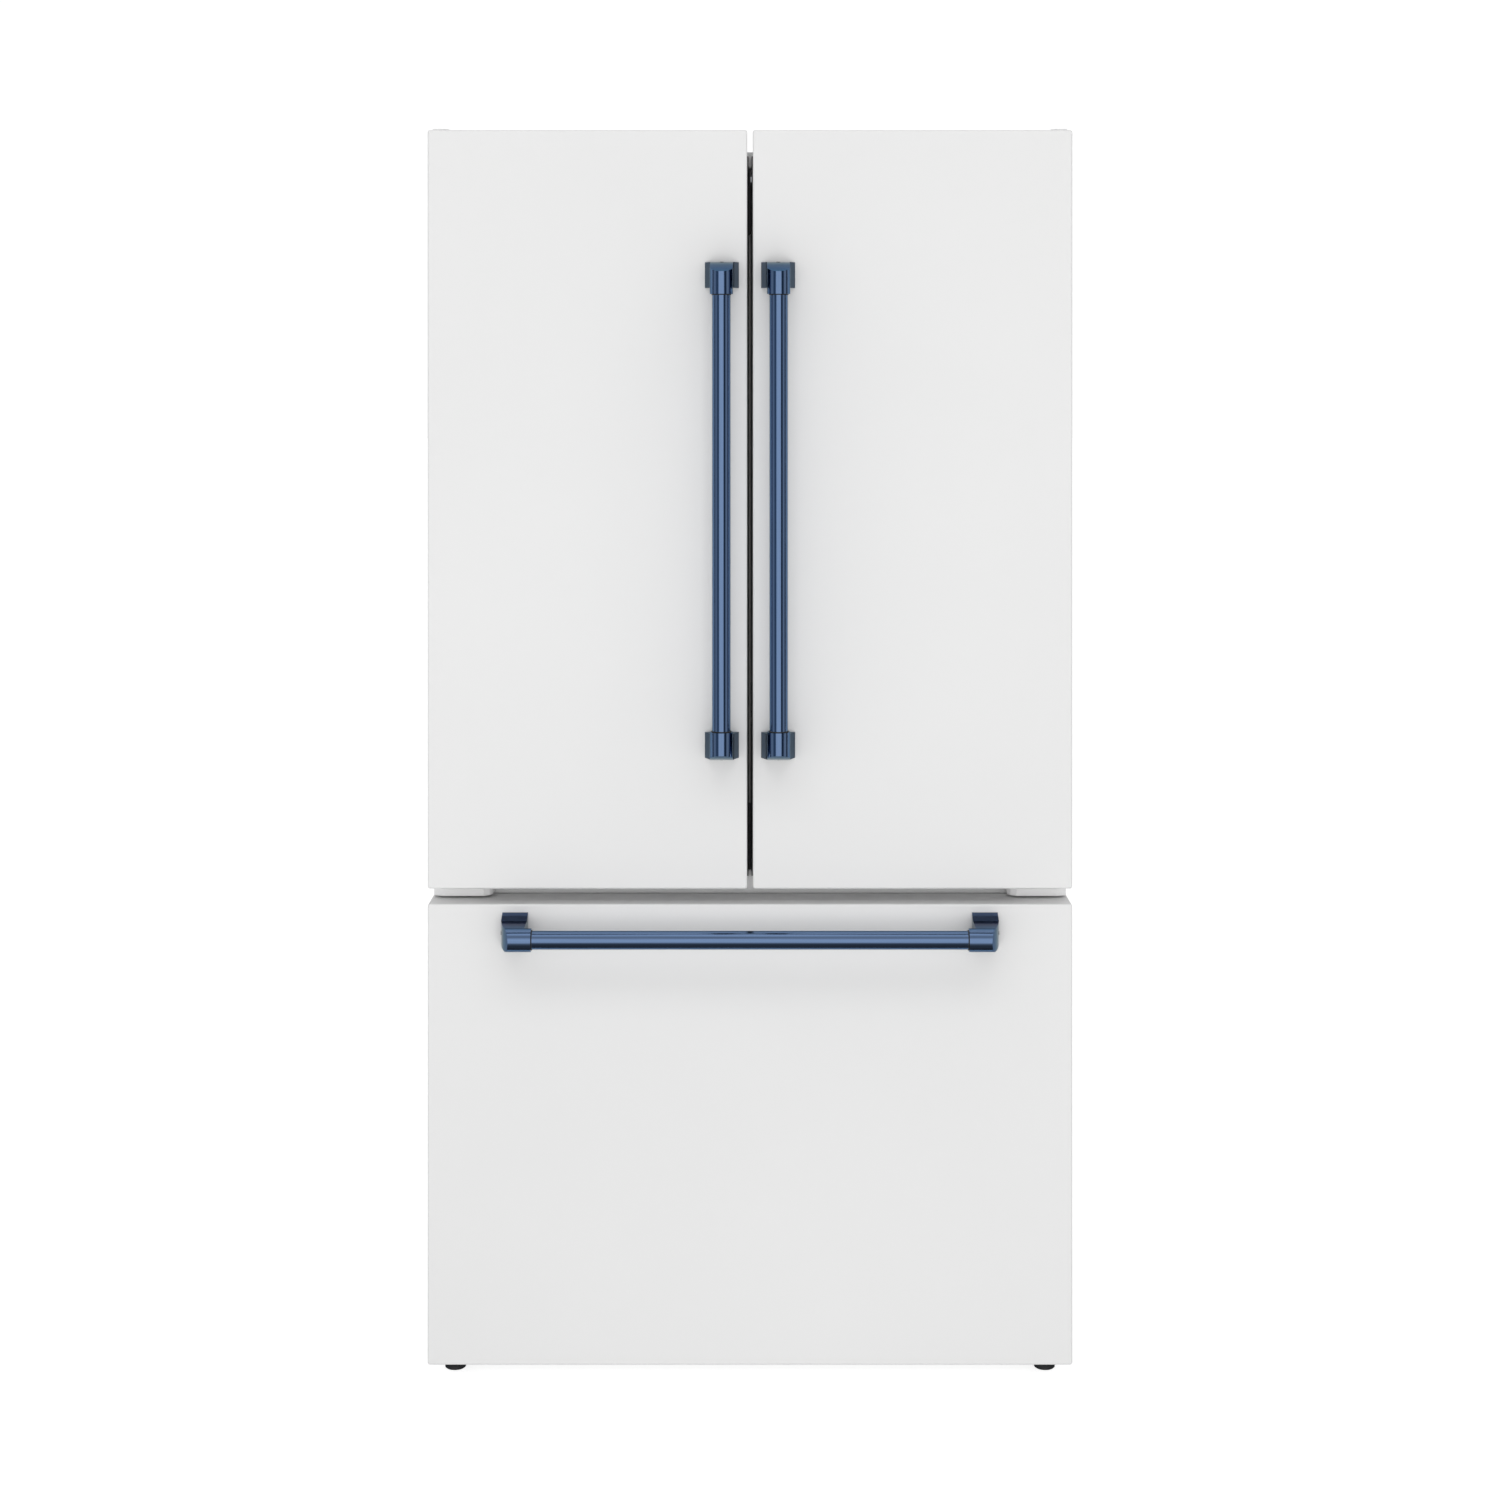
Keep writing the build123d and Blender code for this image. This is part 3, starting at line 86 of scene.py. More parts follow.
# How far off the door each foot's painted shade ends, and over what distance it gives way to the blue.
UPRIGHT_FOOT_REACH = 20 * MM
ACROSS_FOOT_REACH = 44 * MM
FOOT_FADE = 18 * MM
BRACKET_LENGTH = 46.3 * MM
SET_SCREW_OFF_DOOR = 20.5 * MM
SET_SCREW_DEPTH = 2.0 * MM
JOINT_RING_GAP = 0.6 * MM
CAP_HEIGHT = 96 * MM
CAP_GAP = 1.5 * MM
CAP_INSET = 5 * MM
CAP_PROUD = 0.4 * MM
BEAD_LEFT = -1.8 * MM
BEAD_RIGHT = 1.0 * MM
BEAD_PROUD = 2.6 * MM
CAP_BEAD_SUNK = 1 * MM

# ---- fresh-food compartment ------------------------------------------------------------------
RIB_LEVELS = (1.010, 1.112, 1.206, 1.302, 1.396, 1.492, 1.586)
RIB_HALF_HEIGHT = 4 * MM
RIB_PROUD = 3.4 * MM
RIB_SUNK = 1.0 * MM
RIB_OFF_FRONT = 75 * MM
RIB_OFF_BACK = 40 * MM
WALL_OFF_GLASS = 14.5 * MM
TOUCH_PANEL_DEPTH = 6 * MM
TOUCH_MARKS = 6
TOUCH_MARK_SPACING = 34 * MM
TOUCH_MARK_Y = -0.140
SHELF_LEVELS = (1.120, 1.310, 1.500)
SHELF_INNER_X = 12 * MM
SHELF_OUTER_X = 399 * MM
TRIM_BELOW_SHELF = 9 * MM
TRIM_ABOVE_SHELF = 5.5 * MM
TRIM_PROUD = 1.6 * MM
TRIM_RADIUS = 1.2 * MM
COVER_TRIM_SUNK = 3 * MM
COVER_TRIM_RAISED = 1 * MM
STRIP_INSET = 62 * MM
STRIP_PROUD = 1.2 * MM
STRIP_BOTTOM_BELOW_RIM = 46 * MM
STRIP_TOP_BELOW_RIM = 18 * MM
BIN_LEVELS = (0.975, 1.225, 1.470)
BAND_BOTTOM_ABOVE_BIN = 94 * MM
BAND_TOP_ABOVE_BIN = 114 * MM
BAND_INSET = 8 * MM
BAND_PROUD = 1.8 * MM
BAND_SUNK = 1.5 * MM
STRIP_RADIUS = 1.4 * MM

# ---- outside small parts ---------------------------------------------------------------------
SCREW_RADIUS = 4.0 * MM
SCREW_HEIGHT = 1.1 * MM
BACK_SCREW_COLUMNS = (-0.435, -0.225, 0.0, 0.225, 0.435)
BACK_SCREW_LEVELS = (0.60, 0.90, 1.20, 1.50)
SCREW_BELOW_PANEL_TOP = 18 * MM
SCREW_ABOVE_PANEL_FOOT = 14 * MM
SCREW_OFF_COVER_EDGE = 12 * MM
HINGE_COVER_SCREW_X = 0.412
HINGE_COVER_SCREW_OFF_BACK = 18 * MM
HINGE_COVER_SCREW_SUNK = 2.2 * MM
MIDDLE_HINGE_SCREWS_X = (0.385, 0.415)
MIDDLE_HINGE_SCREWS_Y = -0.232
# The corners of the copper tubes' runs, from the compressor outwards.
CONDENSER_TUBE = (
    (0.255, 0.195, 0.225), (0.255, 0.195, 0.262), (0.20, 0.20, 0.280), (-0.10, 0.20, 0.282),
    (-0.22, 0.21, 0.276), (-0.27, 0.22, 0.236),
)
SUCTION_TUBE = ((0.285, 0.195, 0.200), (0.285, 0.18, 0.245), (0.36, 0.17, 0.262), (0.42, 0.17, 0.270))
PROCESS_TUBE = ((0.225, 0.195, 0.200), (0.215, 0.19, 0.232), (0.16, 0.20, 0.240), (0.12, 0.22, 0.240))
TUBE_RADIUS = 3.2 * MM
PROCESS_TUBE_RADIUS = 2.6 * MM
# The levelling feet's thread, in millimetres.
THREAD_START = 13.8
THREAD_STOP = 27.0
THREAD_PITCH = 1.2
THREAD_ROOT = 4.3
THREAD_CREST = 5.0

# ---- camera and light ------------------------------------------------------------------------
CAMERA_DISTANCE = 3.530
CAMERA_HEIGHT = 1.457
CAMERA_LENS = 60.0
CAMERA_SHIFT_Y = -0.2633
BACKGROUND_STRENGTH = 1.05
SURROUND_STRENGTH = 0.60
FLOOR_HALF_SIZE = 40
FLOOR_GLOW = 0.82
FLOOR_BOUNCE = 0.34
# Each lamp's name, place, target, size and power in watts.
LAMPS = (
    ("overhead", (0, 0.2, 4.4), (0, 0.2, 0.0), (4.0, 3.0), 12),
    ("front_above", (0, -4.2, 5.2), (0, -0.3, 1.0), (5.0, 1.6), 40),
    ("front_box", (0, -4.7, 0.75), (0, -0.3, 0.75), (2.2, 1.4), 45),
)
# What polished metal reflects, as (degrees to the right of the front, brightness) round the room.
REFLECTED_ROUND = (
    (-180, 0.72), (-150, 0.72), (-132, 0.10), (-90, 0.08), (-80, 0.52), (-60, 0.52), (-50, 0.18),
    (-33, 0.18), (-23, 1.28), (23, 1.28), (32, 0.08), (48, 0.08), (58, 0.60), (76, 0.60), (88, 0.04),
    (132, 0.08), (150, 0.72), (180, 0.72),
)
# The same from straight down to straight up, as (sine of the elevation, factor).
REFLECTED_UPWARD = (
    (-1.0, 0.08), (-0.75, 0.08), (-0.5, 0.20), (-0.2, 0.90), (0.35, 0.92), (0.6, 0.45), (0.8, 0.45),
    (0.92, 0.85), (1.0, 0.85),
)
# The tint of the reflected room's dark bands, and how fast it fades as they get brighter.
ROOM_SHADE = (0.55, 1.0, 1.5)
SHADE_FADE = 2.2


# ---- node helpers ----------------------------------------------------------------------------
class Material:
    """A node material under construction, with short calls for the nodes used here."""

    def __init__(self, name, **sockets):
        self.material = bpy.data.materials.new(name)
        self.material.use_nodes = True
        self.nodes = self.material.node_tree.nodes
        self.links = self.material.node_tree.links
        self.shader = self.nodes["Principled BSDF"]
        for socket, value in sockets.items():
            self.shader.inputs[socket.replace("_", " ")].default_value = value
        self.coords = self.nodes.new("ShaderNodeTexCoord").outputs["Object"]

    def add(self, kind, **settings):
        """A new node with its settings."""
        node = self.nodes.new(kind)
        for key, value in settings.items():
            setattr(node, key, value)
        return node

    def scaled(self, scale):
        """Object coordinates stretched by a factor along each axis."""
        mapping = self.add("ShaderNodeMapping")
        mapping.inputs["Scale"].default_value = scale
        self.links.new(self.coords, mapping.inputs["Vector"])
        return mapping.outputs["Vector"]

    def noise(self, scale, detail, stretch=(1, 1, 1)):
        """Fractal noise, with features about 1/scale metres across."""
        node = self.add("ShaderNodeTexNoise")
        node.inputs["Scale"].default_value = scale
        node.inputs["Detail"].default_value = detail
        self.links.new(self.scaled(stretch), node.inputs["Vector"])
        return node.outputs["Fac"]

    def cells(self, scale):
        """Distances to the middles of random cells, for grains and spangle."""
        node = self.add("ShaderNodeTexVoronoi")
        node.inputs["Scale"].default_value = scale
        self.links.new(self.scaled((1, 1, 1)), node.inputs["Vector"])
        return node.outputs["Distance"]

    def ramp(self, factor, low, high, start=0.3, stop=0.7):
        """Maps a factor to a range of numbers."""
        node = self.add("ShaderNodeMapRange")
        self.links.new(factor, node.inputs["Value"])
        node.inputs["From Min"].default_value = start
        node.inputs["From Max"].default_value = stop
        node.inputs["To Min"].default_value = low
        node.inputs["To Max"].default_value = high
        return node.outputs["Result"]

    def colours(self, factor, first, second, start=0.3, stop=0.7):
        """A colour that runs between two, by a factor."""
        node = self.add("ShaderNodeValToRGB")
        node.color_ramp.elements[0].position = start
        node.color_ramp.elements[0].color = (*first, 1)
        node.color_ramp.elements[1].position = stop
        node.color_ramp.elements[1].color = (*second, 1)
        self.links.new(factor, node.inputs["Fac"])
        return node.outputs["Color"]

    def shades(self, factor, colour, low, high, start=0.3, stop=0.7):
        """One colour, multiplied by low to high as a factor runs from start to stop."""
        return self.colours(factor, tinted(colour, low), tinted(colour, high), start, stop)

    def blended(self, first, second, start, stop):
        """A colour that turns into a fixed one from one Y coordinate to another."""
        place = self.add("ShaderNodeSeparateXYZ")
        self.links.new(self.coords, place.inputs["Vector"])
        mix = self.add("ShaderNodeMix", data_type="RGBA")
        self.links.new(self.ramp(place.outputs["Y"], 0.0, 1.0, start, stop), mix.inputs["Factor"])
        self.links.new(first, mix.inputs["A"])
        mix.inputs["B"].default_value = (*second, 1)
        return mix.outputs["Result"]

    def drive(self, socket, output):
        """Feeds one of the shader's inputs."""
        self.links.new(output, self.shader.inputs[socket])

    def bump(self, height, strength, distance):
        """Adds relief, on top of any relief added before."""
        node = self.add("ShaderNodeBump")
        node.inputs["Strength"].default_value = strength
        node.inputs["Distance"].default_value = distance
        self.links.new(height, node.inputs["Height"])
        normal = self.shader.inputs["Normal"]
        if normal.is_linked:
            self.links.new(normal.links[0].from_socket, node.inputs["Normal"])
        self.links.new(node.outputs["Normal"], normal)


def tinted(colour, factor):
    """A colour made lighter or darker."""
    return tuple(channel * factor for channel in colour)


# ---- materials -------------------------------------------------------------------------------
def enamel(name, colour, roughness):
    """Baked enamel: a fine orange peel, a faint cloudiness and a soft gloss."""
    m = Material(name, Coat_Weight=0.12, Coat_Roughness=0.25)
    m.drive("Base Color", m.shades(m.noise(scale=1.7, detail=4), colour, low=0.985, high=1.012))
    m.drive("Roughness", m.ramp(m.noise(scale=60, detail=4), roughness - 0.03, roughness + 0.04))
    m.bump(m.noise(scale=420, detail=2), strength=0.10, distance=0.25 * MM)
    m.bump(m.noise(scale=2600, detail=1), strength=0.05, distance=0.06 * MM)
    return m.material


def anodised_blue(name, along, foot_shade=None, foot_reach=0.0):
    """Blue metal with a satin grain drawn along one axis; a bracket's foot gets painted shade, darker
    towards the door.
    """
    grain = [GRAIN_ALONG if axis == along else GRAIN_ACROSS for axis in "xyz"]
    edge = (*BLUE_EDGE, 1)
    m = Material(name, Metallic=1.0, Specular_Tint=edge, Coat_Weight=0.35, Coat_Roughness=0.10)
    streaks = m.noise(scale=1.0, detail=3, stretch=grain)
    colour = m.shades(streaks, BLUE_METAL, low=0.93, high=1.07)
    # Painted shade: the foot's darker colour blends in towards the door.
    if foot_shade:
        foot_end = DOOR_FACE_Y - foot_reach
        colour = m.blended(colour, foot_shade, foot_end - FOOT_FADE, foot_end)
    m.drive("Base Color", colour)
    m.drive("Roughness", m.ramp(streaks, low=0.09, high=0.14))
    m.bump(streaks, strength=0.04, distance=0.04 * MM)
    return m.material


def moulded(name, colour, roughness, grain=900, depth=0.12 * MM):
    """Moulded plastic with a fine eroded grain."""
    m = Material(name, Specular_IOR_Level=0.5)
    m.drive("Base Color", m.shades(m.noise(scale=7, detail=5), colour, low=0.94, high=1.05))
    m.drive("Roughness", m.ramp(m.noise(scale=130, detail=3), roughness - 0.05, roughness + 0.05))
    m.bump(m.cells(grain), strength=0.25, distance=depth)
    return m.material


def liner_plastic(name):
    """Vacuum-formed satin liner with a fine leathery grain."""
    m = Material(name, Coat_Weight=0.10, Coat_Roughness=0.25)
    m.drive("Base Color", m.shades(m.noise(scale=3, detail=3), LINER_WHITE, low=0.992, high=1.006))
    m.drive("Roughness", m.ramp(m.noise(scale=40, detail=2), low=0.36, high=0.42))
    m.bump(m.noise(scale=900, detail=2), strength=0.08, distance=0.08 * MM)
    return m.material


def rubber(name, colour):
    """Matt extruded rubber with a little bloom."""
    m = Material(name, Sheen_Weight=0.15, Sheen_Roughness=0.5)
    m.drive("Base Color", m.shades(m.noise(scale=25, detail=5), colour, low=0.8, high=1.6))
    m.drive("Roughness", m.ramp(m.noise(scale=200, detail=3), low=0.50, high=0.66))
    m.bump(m.noise(scale=1400, detail=2), strength=0.2, distance=0.1 * MM)
    return m.material


def galvanised(name, colour):
    """Zinc-coated sheet with its spangle."""
    m = Material(name, Metallic=1.0)
    spangle = m.cells(scale=70)
    m.drive("Base Color", m.shades(spangle, colour, low=1.04, high=0.94, start=0.1, stop=0.9))
    m.drive("Roughness", m.ramp(m.noise(scale=90, detail=3), low=0.32, high=0.46))
    m.bump(spangle, strength=0.08, distance=0.2 * MM)
    return m.material


def bright_metal(name, colour, roughness, stretch=(600, 600, 600)):
    """Turned or brushed bright metal."""
    m = Material(name, Metallic=1.0)
    grain = m.noise(scale=1.0, detail=3, stretch=stretch)
    m.drive("Base Color", m.shades(grain, colour, low=0.92, high=1.05))
    m.drive("Roughness", m.ramp(grain, roughness, roughness + 0.12))
    m.bump(grain, strength=0.06, distance=0.1 * MM)
    return m.material


def clear_plastic(name, colour, roughness, body):
    """Clear or frosted moulded plastic. body is how solid it looks, from 0 to 1."""
    m = Material(name, IOR=1.49, Transmission_Weight=1.0 - body)
    m.drive("Base Color", m.shades(m.noise(scale=9, detail=3), colour, low=0.97, high=1.0))
    m.drive("Roughness", m.ramp(m.noise(scale=60, detail=3), roughness, roughness + 0.06))
    m.bump(m.noise(scale=300, detail=2), strength=0.05, distance=0.2 * MM)
    return m.material


def foam_material(name):
    """Cut polyurethane foam."""
    m = Material(name)
    bubbles = m.cells(scale=700)
    m.drive("Base Color", m.colours(m.noise(scale=14, detail=5), FOAM_DARK, FOAM_LIGHT))
    m.drive("Roughness", m.ramp(m.noise(scale=90, detail=3), low=0.8, high=0.95))
    m.bump(bubbles, strength=0.6, distance=0.6 * MM)
    return m.material


def lit_lens(name):
    """The milky lens over the compartment's lamp, lit from inside."""
    m = Material(name, Emission_Strength=0.4, IOR=1.46)
    m.drive("Base Color", m.colours(m.noise(scale=30, detail=3), LENS_DARK, LENS_LIGHT))
    m.drive("Emission Color", m.colours(m.noise(scale=12, detail=2), LAMP_COOL, LAMP_WARM))
    m.drive("Roughness", m.ramp(m.noise(scale=300, detail=2), low=0.30, high=0.42))
    m.bump(m.cells(scale=450), strength=0.3, distance=0.3 * MM)
    return m.material


BLUE_UPRIGHT = anodised_blue("blue_metal_upright", "z")
BLUE_ACROSS = anodised_blue("blue_metal_across", "x")
BRACKET_UPRIGHT = anodised_blue("blue_bracket_upright", "z", UPRIGHT_FOOT_SHADE, UPRIGHT_FOOT_REACH)
BRACKET_ACROSS = anodised_blue("blue_bracket_across", "x", ACROSS_FOOT_SHADE, ACROSS_FOOT_REACH)
ENAMEL = enamel("white_enamel", WHITE_ENAMEL, roughness=0.40)
# Painted light: the rails and hinges get a lighter enamel than the doors, to make up for the shade in the
# gaps.
RAIL_LIT_ENAMEL = enamel("rail_lit_enamel", GAP_LIT_ENAMEL, roughness=0.36)
CASE = enamel("cabinet_enamel", CABINET_ENAMEL, roughness=0.46)
LINER = liner_plastic("liner_plastic")
RUBBER = rubber("gasket_rubber", GASKET_BLACK)
BLACK = moulded("black_plastic", MULLION_BLACK, roughness=0.5)
DARK_GREY = moulded("dark_grey_plastic", MULLION_GREY, roughness=0.45)
BEAD_GREY = moulded("mullion_bead_grey", (0.48, 0.48, 0.485), roughness=0.40)
MID_GREY = moulded("mid_grey_plastic", (0.26, 0.265, 0.27), roughness=0.45)
PALE_PLASTIC = moulded("pale_plastic", (0.72, 0.725, 0.73), roughness=0.42)
RIM = moulded("shelf_rim_plastic", (0.74, 0.76, 0.78), roughness=0.36, grain=1600, depth=0.05 * MM)
ZINC = galvanised("galvanised_steel", (0.58, 0.59, 0.60))
BRIGHT = bright_metal("bright_steel", (0.62, 0.62, 0.63), roughness=0.20)
BLACK_STEEL = bright_metal("black_screw_steel", (0.05, 0.05, 0.055), roughness=0.30)
TRIM = bright_metal("brushed_trim", (0.66, 0.67, 0.69), roughness=0.24, stretch=(6, 900, 900))
COPPER = bright_metal("copper_tube", (0.72, 0.36, 0.20), roughness=0.24)
FINS = bright_metal("aluminium_fins", (0.75, 0.76, 0.77), roughness=0.35)
COMPRESSOR = enamel("compressor_black", (0.016, 0.016, 0.017), roughness=0.30)
WIRE_BLACK = enamel("condenser_black", (0.022, 0.022, 0.022), roughness=0.50)
CLEAR = clear_plastic("clear_plastic", (0.93, 0.96, 0.98), roughness=0.06, body=0.12)
FROSTED = clear_plastic("frosted_plastic", (0.90, 0.93, 0.95), roughness=0.28, body=0.45)
GLASS = clear_plastic("shelf_glass", (0.90, 0.97, 0.95), roughness=0.02, body=0.03)
FOAM = foam_material("insulation_foam")
LENS = lit_lens("lamp_lens")
TOUCH = moulded("touch_panel", (0.02, 0.021, 0.023), roughness=0.16, grain=2400, depth=0.01 * MM)

NODE_MATERIALS = {
    "left_door_panel": ENAMEL, "right_door_panel": ENAMEL, "drawer_panel": ENAMEL,
    "left_side_panel": CASE, "right_side_panel": CASE, "top_panel": CASE, "front_rails": RAIL_LIT_ENAMEL,
    "back_panel": ZINC, "base_pan": ZINC, "shelf_ladders": BRIGHT,
    "freezer_outer_rails": ZINC, "freezer_middle_rails": ZINC, "drawer_inner_rails": ZINC,
    "left_handle_bar": BLUE_UPRIGHT, "right_handle_bar": BLUE_UPRIGHT, "drawer_handle_bar": BLUE_ACROSS,
    "left_handle_brackets": BRACKET_UPRIGHT, "right_handle_brackets": BRACKET_UPRIGHT,
    "drawer_handle_brackets": BRACKET_ACROSS,
    "door_hinges": RAIL_LIT_ENAMEL, "hinge_covers": PALE_PLASTIC, "hinge_pins": BRIGHT,
    "roller_axles": BRIGHT,
    "fresh_food_liner": LINER, "freezer_liner": LINER, "left_door_liner": LINER,
    "right_door_liner": LINER, "drawer_liner": LINER, "air_duct_cover": LINER,
    "freezer_back_cover": LINER,
    "shelf_frames": RIM, "glass_shelves": GLASS, "crisper_cover": GLASS,
    "left_door_bins": CLEAR, "right_door_bins": CLEAR, "left_crisper": CLEAR, "right_crisper": CLEAR,
    "freezer_basket": FROSTED, "freezer_tray": FROSTED,
    "flip_mullion": BLACK, "mullion_hinges": MID_GREY,
    "left_door_hinge_blocks": MID_GREY, "right_door_hinge_blocks": MID_GREY,
    "insulation_foam": FOAM, "left_door_foam": FOAM, "right_door_foam": FOAM, "drawer_foam": FOAM,
    "compressor": COMPRESSOR, "condenser": WIRE_BLACK, "evaporator": FINS,
    "evaporator_fan": DARK_GREY, "condenser_fan": DARK_GREY, "machine_room_cover": DARK_GREY,
}
# How far the edges of some CAD nodes are rounded, in millimetres.
EDGE_ROUNDING = {
    "left_handle_brackets": 0.9, "right_handle_brackets": 0.9, "drawer_handle_brackets": 0.9,
    "shelf_frames": 1.2, "freezer_basket": 0.8, "freezer_tray": 0.8,
    "left_crisper": 0.8, "right_crisper": 0.8, "left_door_bins": 0.8, "right_door_bins": 0.8,
    "door_hinges": 0.8, "left_door_liner": 3.0, "right_door_liner": 3.0, "drawer_liner": 3.0,
    "flip_mullion": 0.6,
}


# ---- mesh helpers ----------------------------------------------------------------------------
def piece(name, body, material, bm):
    """Turns a bmesh into a smooth-shaded piece that rides on a CAD body."""
    bmesh.ops.recalc_face_normals(bm, faces=bm.faces)
    mesh = bpy.data.meshes.new(name)
    bm.to_mesh(mesh)
    bm.free()
    mesh.materials.append(material)
    obj = bpy.data.objects.new(name, mesh)
    bpy.context.scene.collection.objects.link(obj)
    smooth(obj)
    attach(obj, body)
    return obj


def smooth(obj):
    """Shades by angle, so flat faces stay flat and round ones look round."""
    for polygon in obj.data.polygons:
        polygon.use_smooth = True
    obj.data.set_sharp_from_angle(angle=SMOOTH_ANGLE)


def in_metres(outline):
    """An outline's points, given in millimetres."""
    return [(first * MM, second * MM) for first, second in outline]


def add_box(bm, low, high, radius, segments=3):
    """Adds a box with rounded edges to a bmesh."""
    low, high = Vector(low), Vector(high)
    centre = (low + high) / 2
    matrix = Matrix.Translation(centre) @ Matrix.Diagonal((*(high - low), 1))
    made = bmesh.ops.create_cube(bm, size=1, matrix=matrix)
    edges = {edge for vert in made["verts"] for edge in vert.link_edges}
    bmesh.ops.bevel(
        bm, geom=list(edges), offset=radius, segments=segments, profile=0.5, affect="EDGES",
        clamp_overlap=True,
    )


AXIS_TURNS = {
    "x": Matrix.Rotation(math.pi / 2, 4, "Y"),
    "-x": Matrix.Rotation(-math.pi / 2, 4, "Y"),
    "y": Matrix.Rotation(-math.pi / 2, 4, "X"),
    "z": Matrix.Identity(4),
    "-z": Matrix.Rotation(math.pi, 4, "X"),
}


def turn_angles(steps):
    """Even angles once around a circle."""
    return [2 * math.pi * step / steps for step in range(steps)]


def add_lathe(bm, outline, centre, axis, steps):
    """Adds a turned shape: outline is (radius, height) pairs along an axis through a centre."""
    place = Matrix.Translation(Vector(centre)) @ AXIS_TURNS[axis]
    loops = []
    for radius, height in outline:
        if radius == 0:
            loops.append([bm.verts.new(place @ Vector((0, 0, height)))])
            continue
        points = [Vector((radius * math.cos(a), radius * math.sin(a), height)) for a in turn_angles(steps)]
        loops.append([bm.verts.new(place @ point) for point in points])
    for first, second in zip(loops, loops[1:]):
        for step in range(steps):
            ahead = (step + 1) % steps
            near = (first[step % len(first)], first[ahead % len(first)])
            far = (second[ahead % len(second)], second[step % len(second)])
            corners = list(dict.fromkeys(near + far))
            if len(corners) > 2:
                bm.faces.new(corners)


def add_frame_sweep(bm, outline, low, high, y):
    """Sweeps a closed outline around a rectangle with mitred corners.

    Outline points are (inward, depth) pairs; low and high are the rectangle's (x, z) corners.
    """
    signs = ((1, 1), (-1, 1), (-1, -1), (1, -1))
    corners = ((low[0], low[1]), (high[0], low[1]), (high[0], high[1]), (low[0], high[1]))
    loops = []
    for (x, z), (sx, sz) in zip(corners, signs):
        loops.append([bm.verts.new((x + sx * u, y + v, z + sz * u)) for u, v in outline])
    count = len(outline)
    for index, loop in enumerate(loops):
        following = loops[(index + 1) % len(loops)]
        for step in range(count):
            ahead = (step + 1) % count
            bm.faces.new((loop[step], loop[ahead], following[ahead], following[step]))


def add_tube(bm, points, radius, steps=16):
    """Adds a round tube along straight runs, with its ends closed."""
    path = [Vector(point) for point in points]
    loops = []
    for index, point in enumerate(path):
        before = path[max(index - 1, 0)]
        after = path[min(index + 1, len(path) - 1)]
        along = (after - before).normalized()
        side = along.orthogonal() if index == 0 else side - side.dot(along) * along
        side = side.normalized()
        other = along.cross(side)
        rim = [math.cos(a) * side + math.sin(a) * other for a in turn_angles(steps)]
        loops.append([bm.verts.new(point + radius * direction) for direction in rim])
    for first, second in zip(loops, loops[1:]):
        for step in range(steps):
            ahead = (step + 1) % steps
            bm.faces.new((first[step], first[ahead], second[ahead], second[step]))
    bm.faces.new(list(reversed(loops[0])))
    bm.faces.new(loops[-1])


def screw_outline(radius, height):
    """A pan-head screw with a recess, standing on its surface."""
    return [
        (0, height * 0.35), (radius * 0.38, height * 0.35), (radius * 0.45, height * 0.95),
        (radius * 0.62, height), (radius * 0.85, height * 0.8), (radius, height * 0.35),
        (radius, 0), (0, 0),
    ]


def add_screw(bm, centre, axis, radius=SCREW_RADIUS, height=SCREW_HEIGHT):
    """Adds one screw head whose axis points out of its surface."""
    add_lathe(bm, screw_outline(radius, height), centre, axis, steps=24)


# ---- CAD nodes get their materials -----------------------------------------------------------
def dress_frame():
    """Gives each shown CAD node its material, smooth shading and softened edges."""
    for name, material in NODE_MATERIALS.items():
        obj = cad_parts[name]
        obj.data.materials.clear()
        obj.data.materials.append(material)
        smooth(obj)
        if name in EDGE_ROUNDING:
            rounding = obj.modifiers.new("edges", "BEVEL")
            rounding.width = EDGE_ROUNDING[name] * MM
            rounding.segments = 3
            rounding.limit_method = "ANGLE"
            rounding.angle_limit = BEVEL_ANGLE
            rounding.harden_normals = True


# ---- gaskets ---------------------------------------------------------------------------------
def gasket_outline(width, depth):
    """A magnetic gasket: a foot, bellows on both sides, and a magnet box with softened edges."""
    inner = [(0.30, 0.0), (0.30, 0.16), (0.14, 0.24), (0.26, 0.36), (0.10, 0.48), (0.22, 0.58)]
    box = [(0.02, 0.70), (0.0, 0.86), (0.05, 0.96), (0.16, 1.0), (0.84, 1.0), (0.95, 0.96)]
    box += [(1.0, 0.86), (0.98, 0.70)]
    outer = [(0.78, 0.58), (0.90, 0.48), (0.74, 0.36), (0.86, 0.24), (0.70, 0.16), (0.70, 0.0)]
    return [(u * width, v * depth) for u, v in inner + box + outer]


def gasket(name, node, body):
    """A door seal that stands for its plain CAD frame."""
    low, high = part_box(node)
    outline = gasket_outline(GASKET_WIDTH, high.y - low.y)
    bm = bmesh.new()
    add_frame_sweep(bm, outline, (low.x, low.z), (high.x, high.z), low.y)
    obj = piece(name, body, RUBBER, bm)
    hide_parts(node)


# ---- handles ---------------------------------------------------------------------------------
def set_screw_outline():
    """A set screw's end with a socket in it and a raised rim."""
    socket = [(0, -2.0), (1.6, -2.0), (1.7, 1.4), (2.2, 1.9)]
    rim = [(3.1, 1.9), (3.3, 1.5), (3.3, -1.0), (0, -1.0)]
    return in_metres(socket + rim)


def joint_ring_outline():
    """A flat ring around the bar."""
    return in_metres([(12.6, -0.8), (13.8, -0.8), (13.8, 0.9), (12.6, 0.9), (12.6, -0.8)])


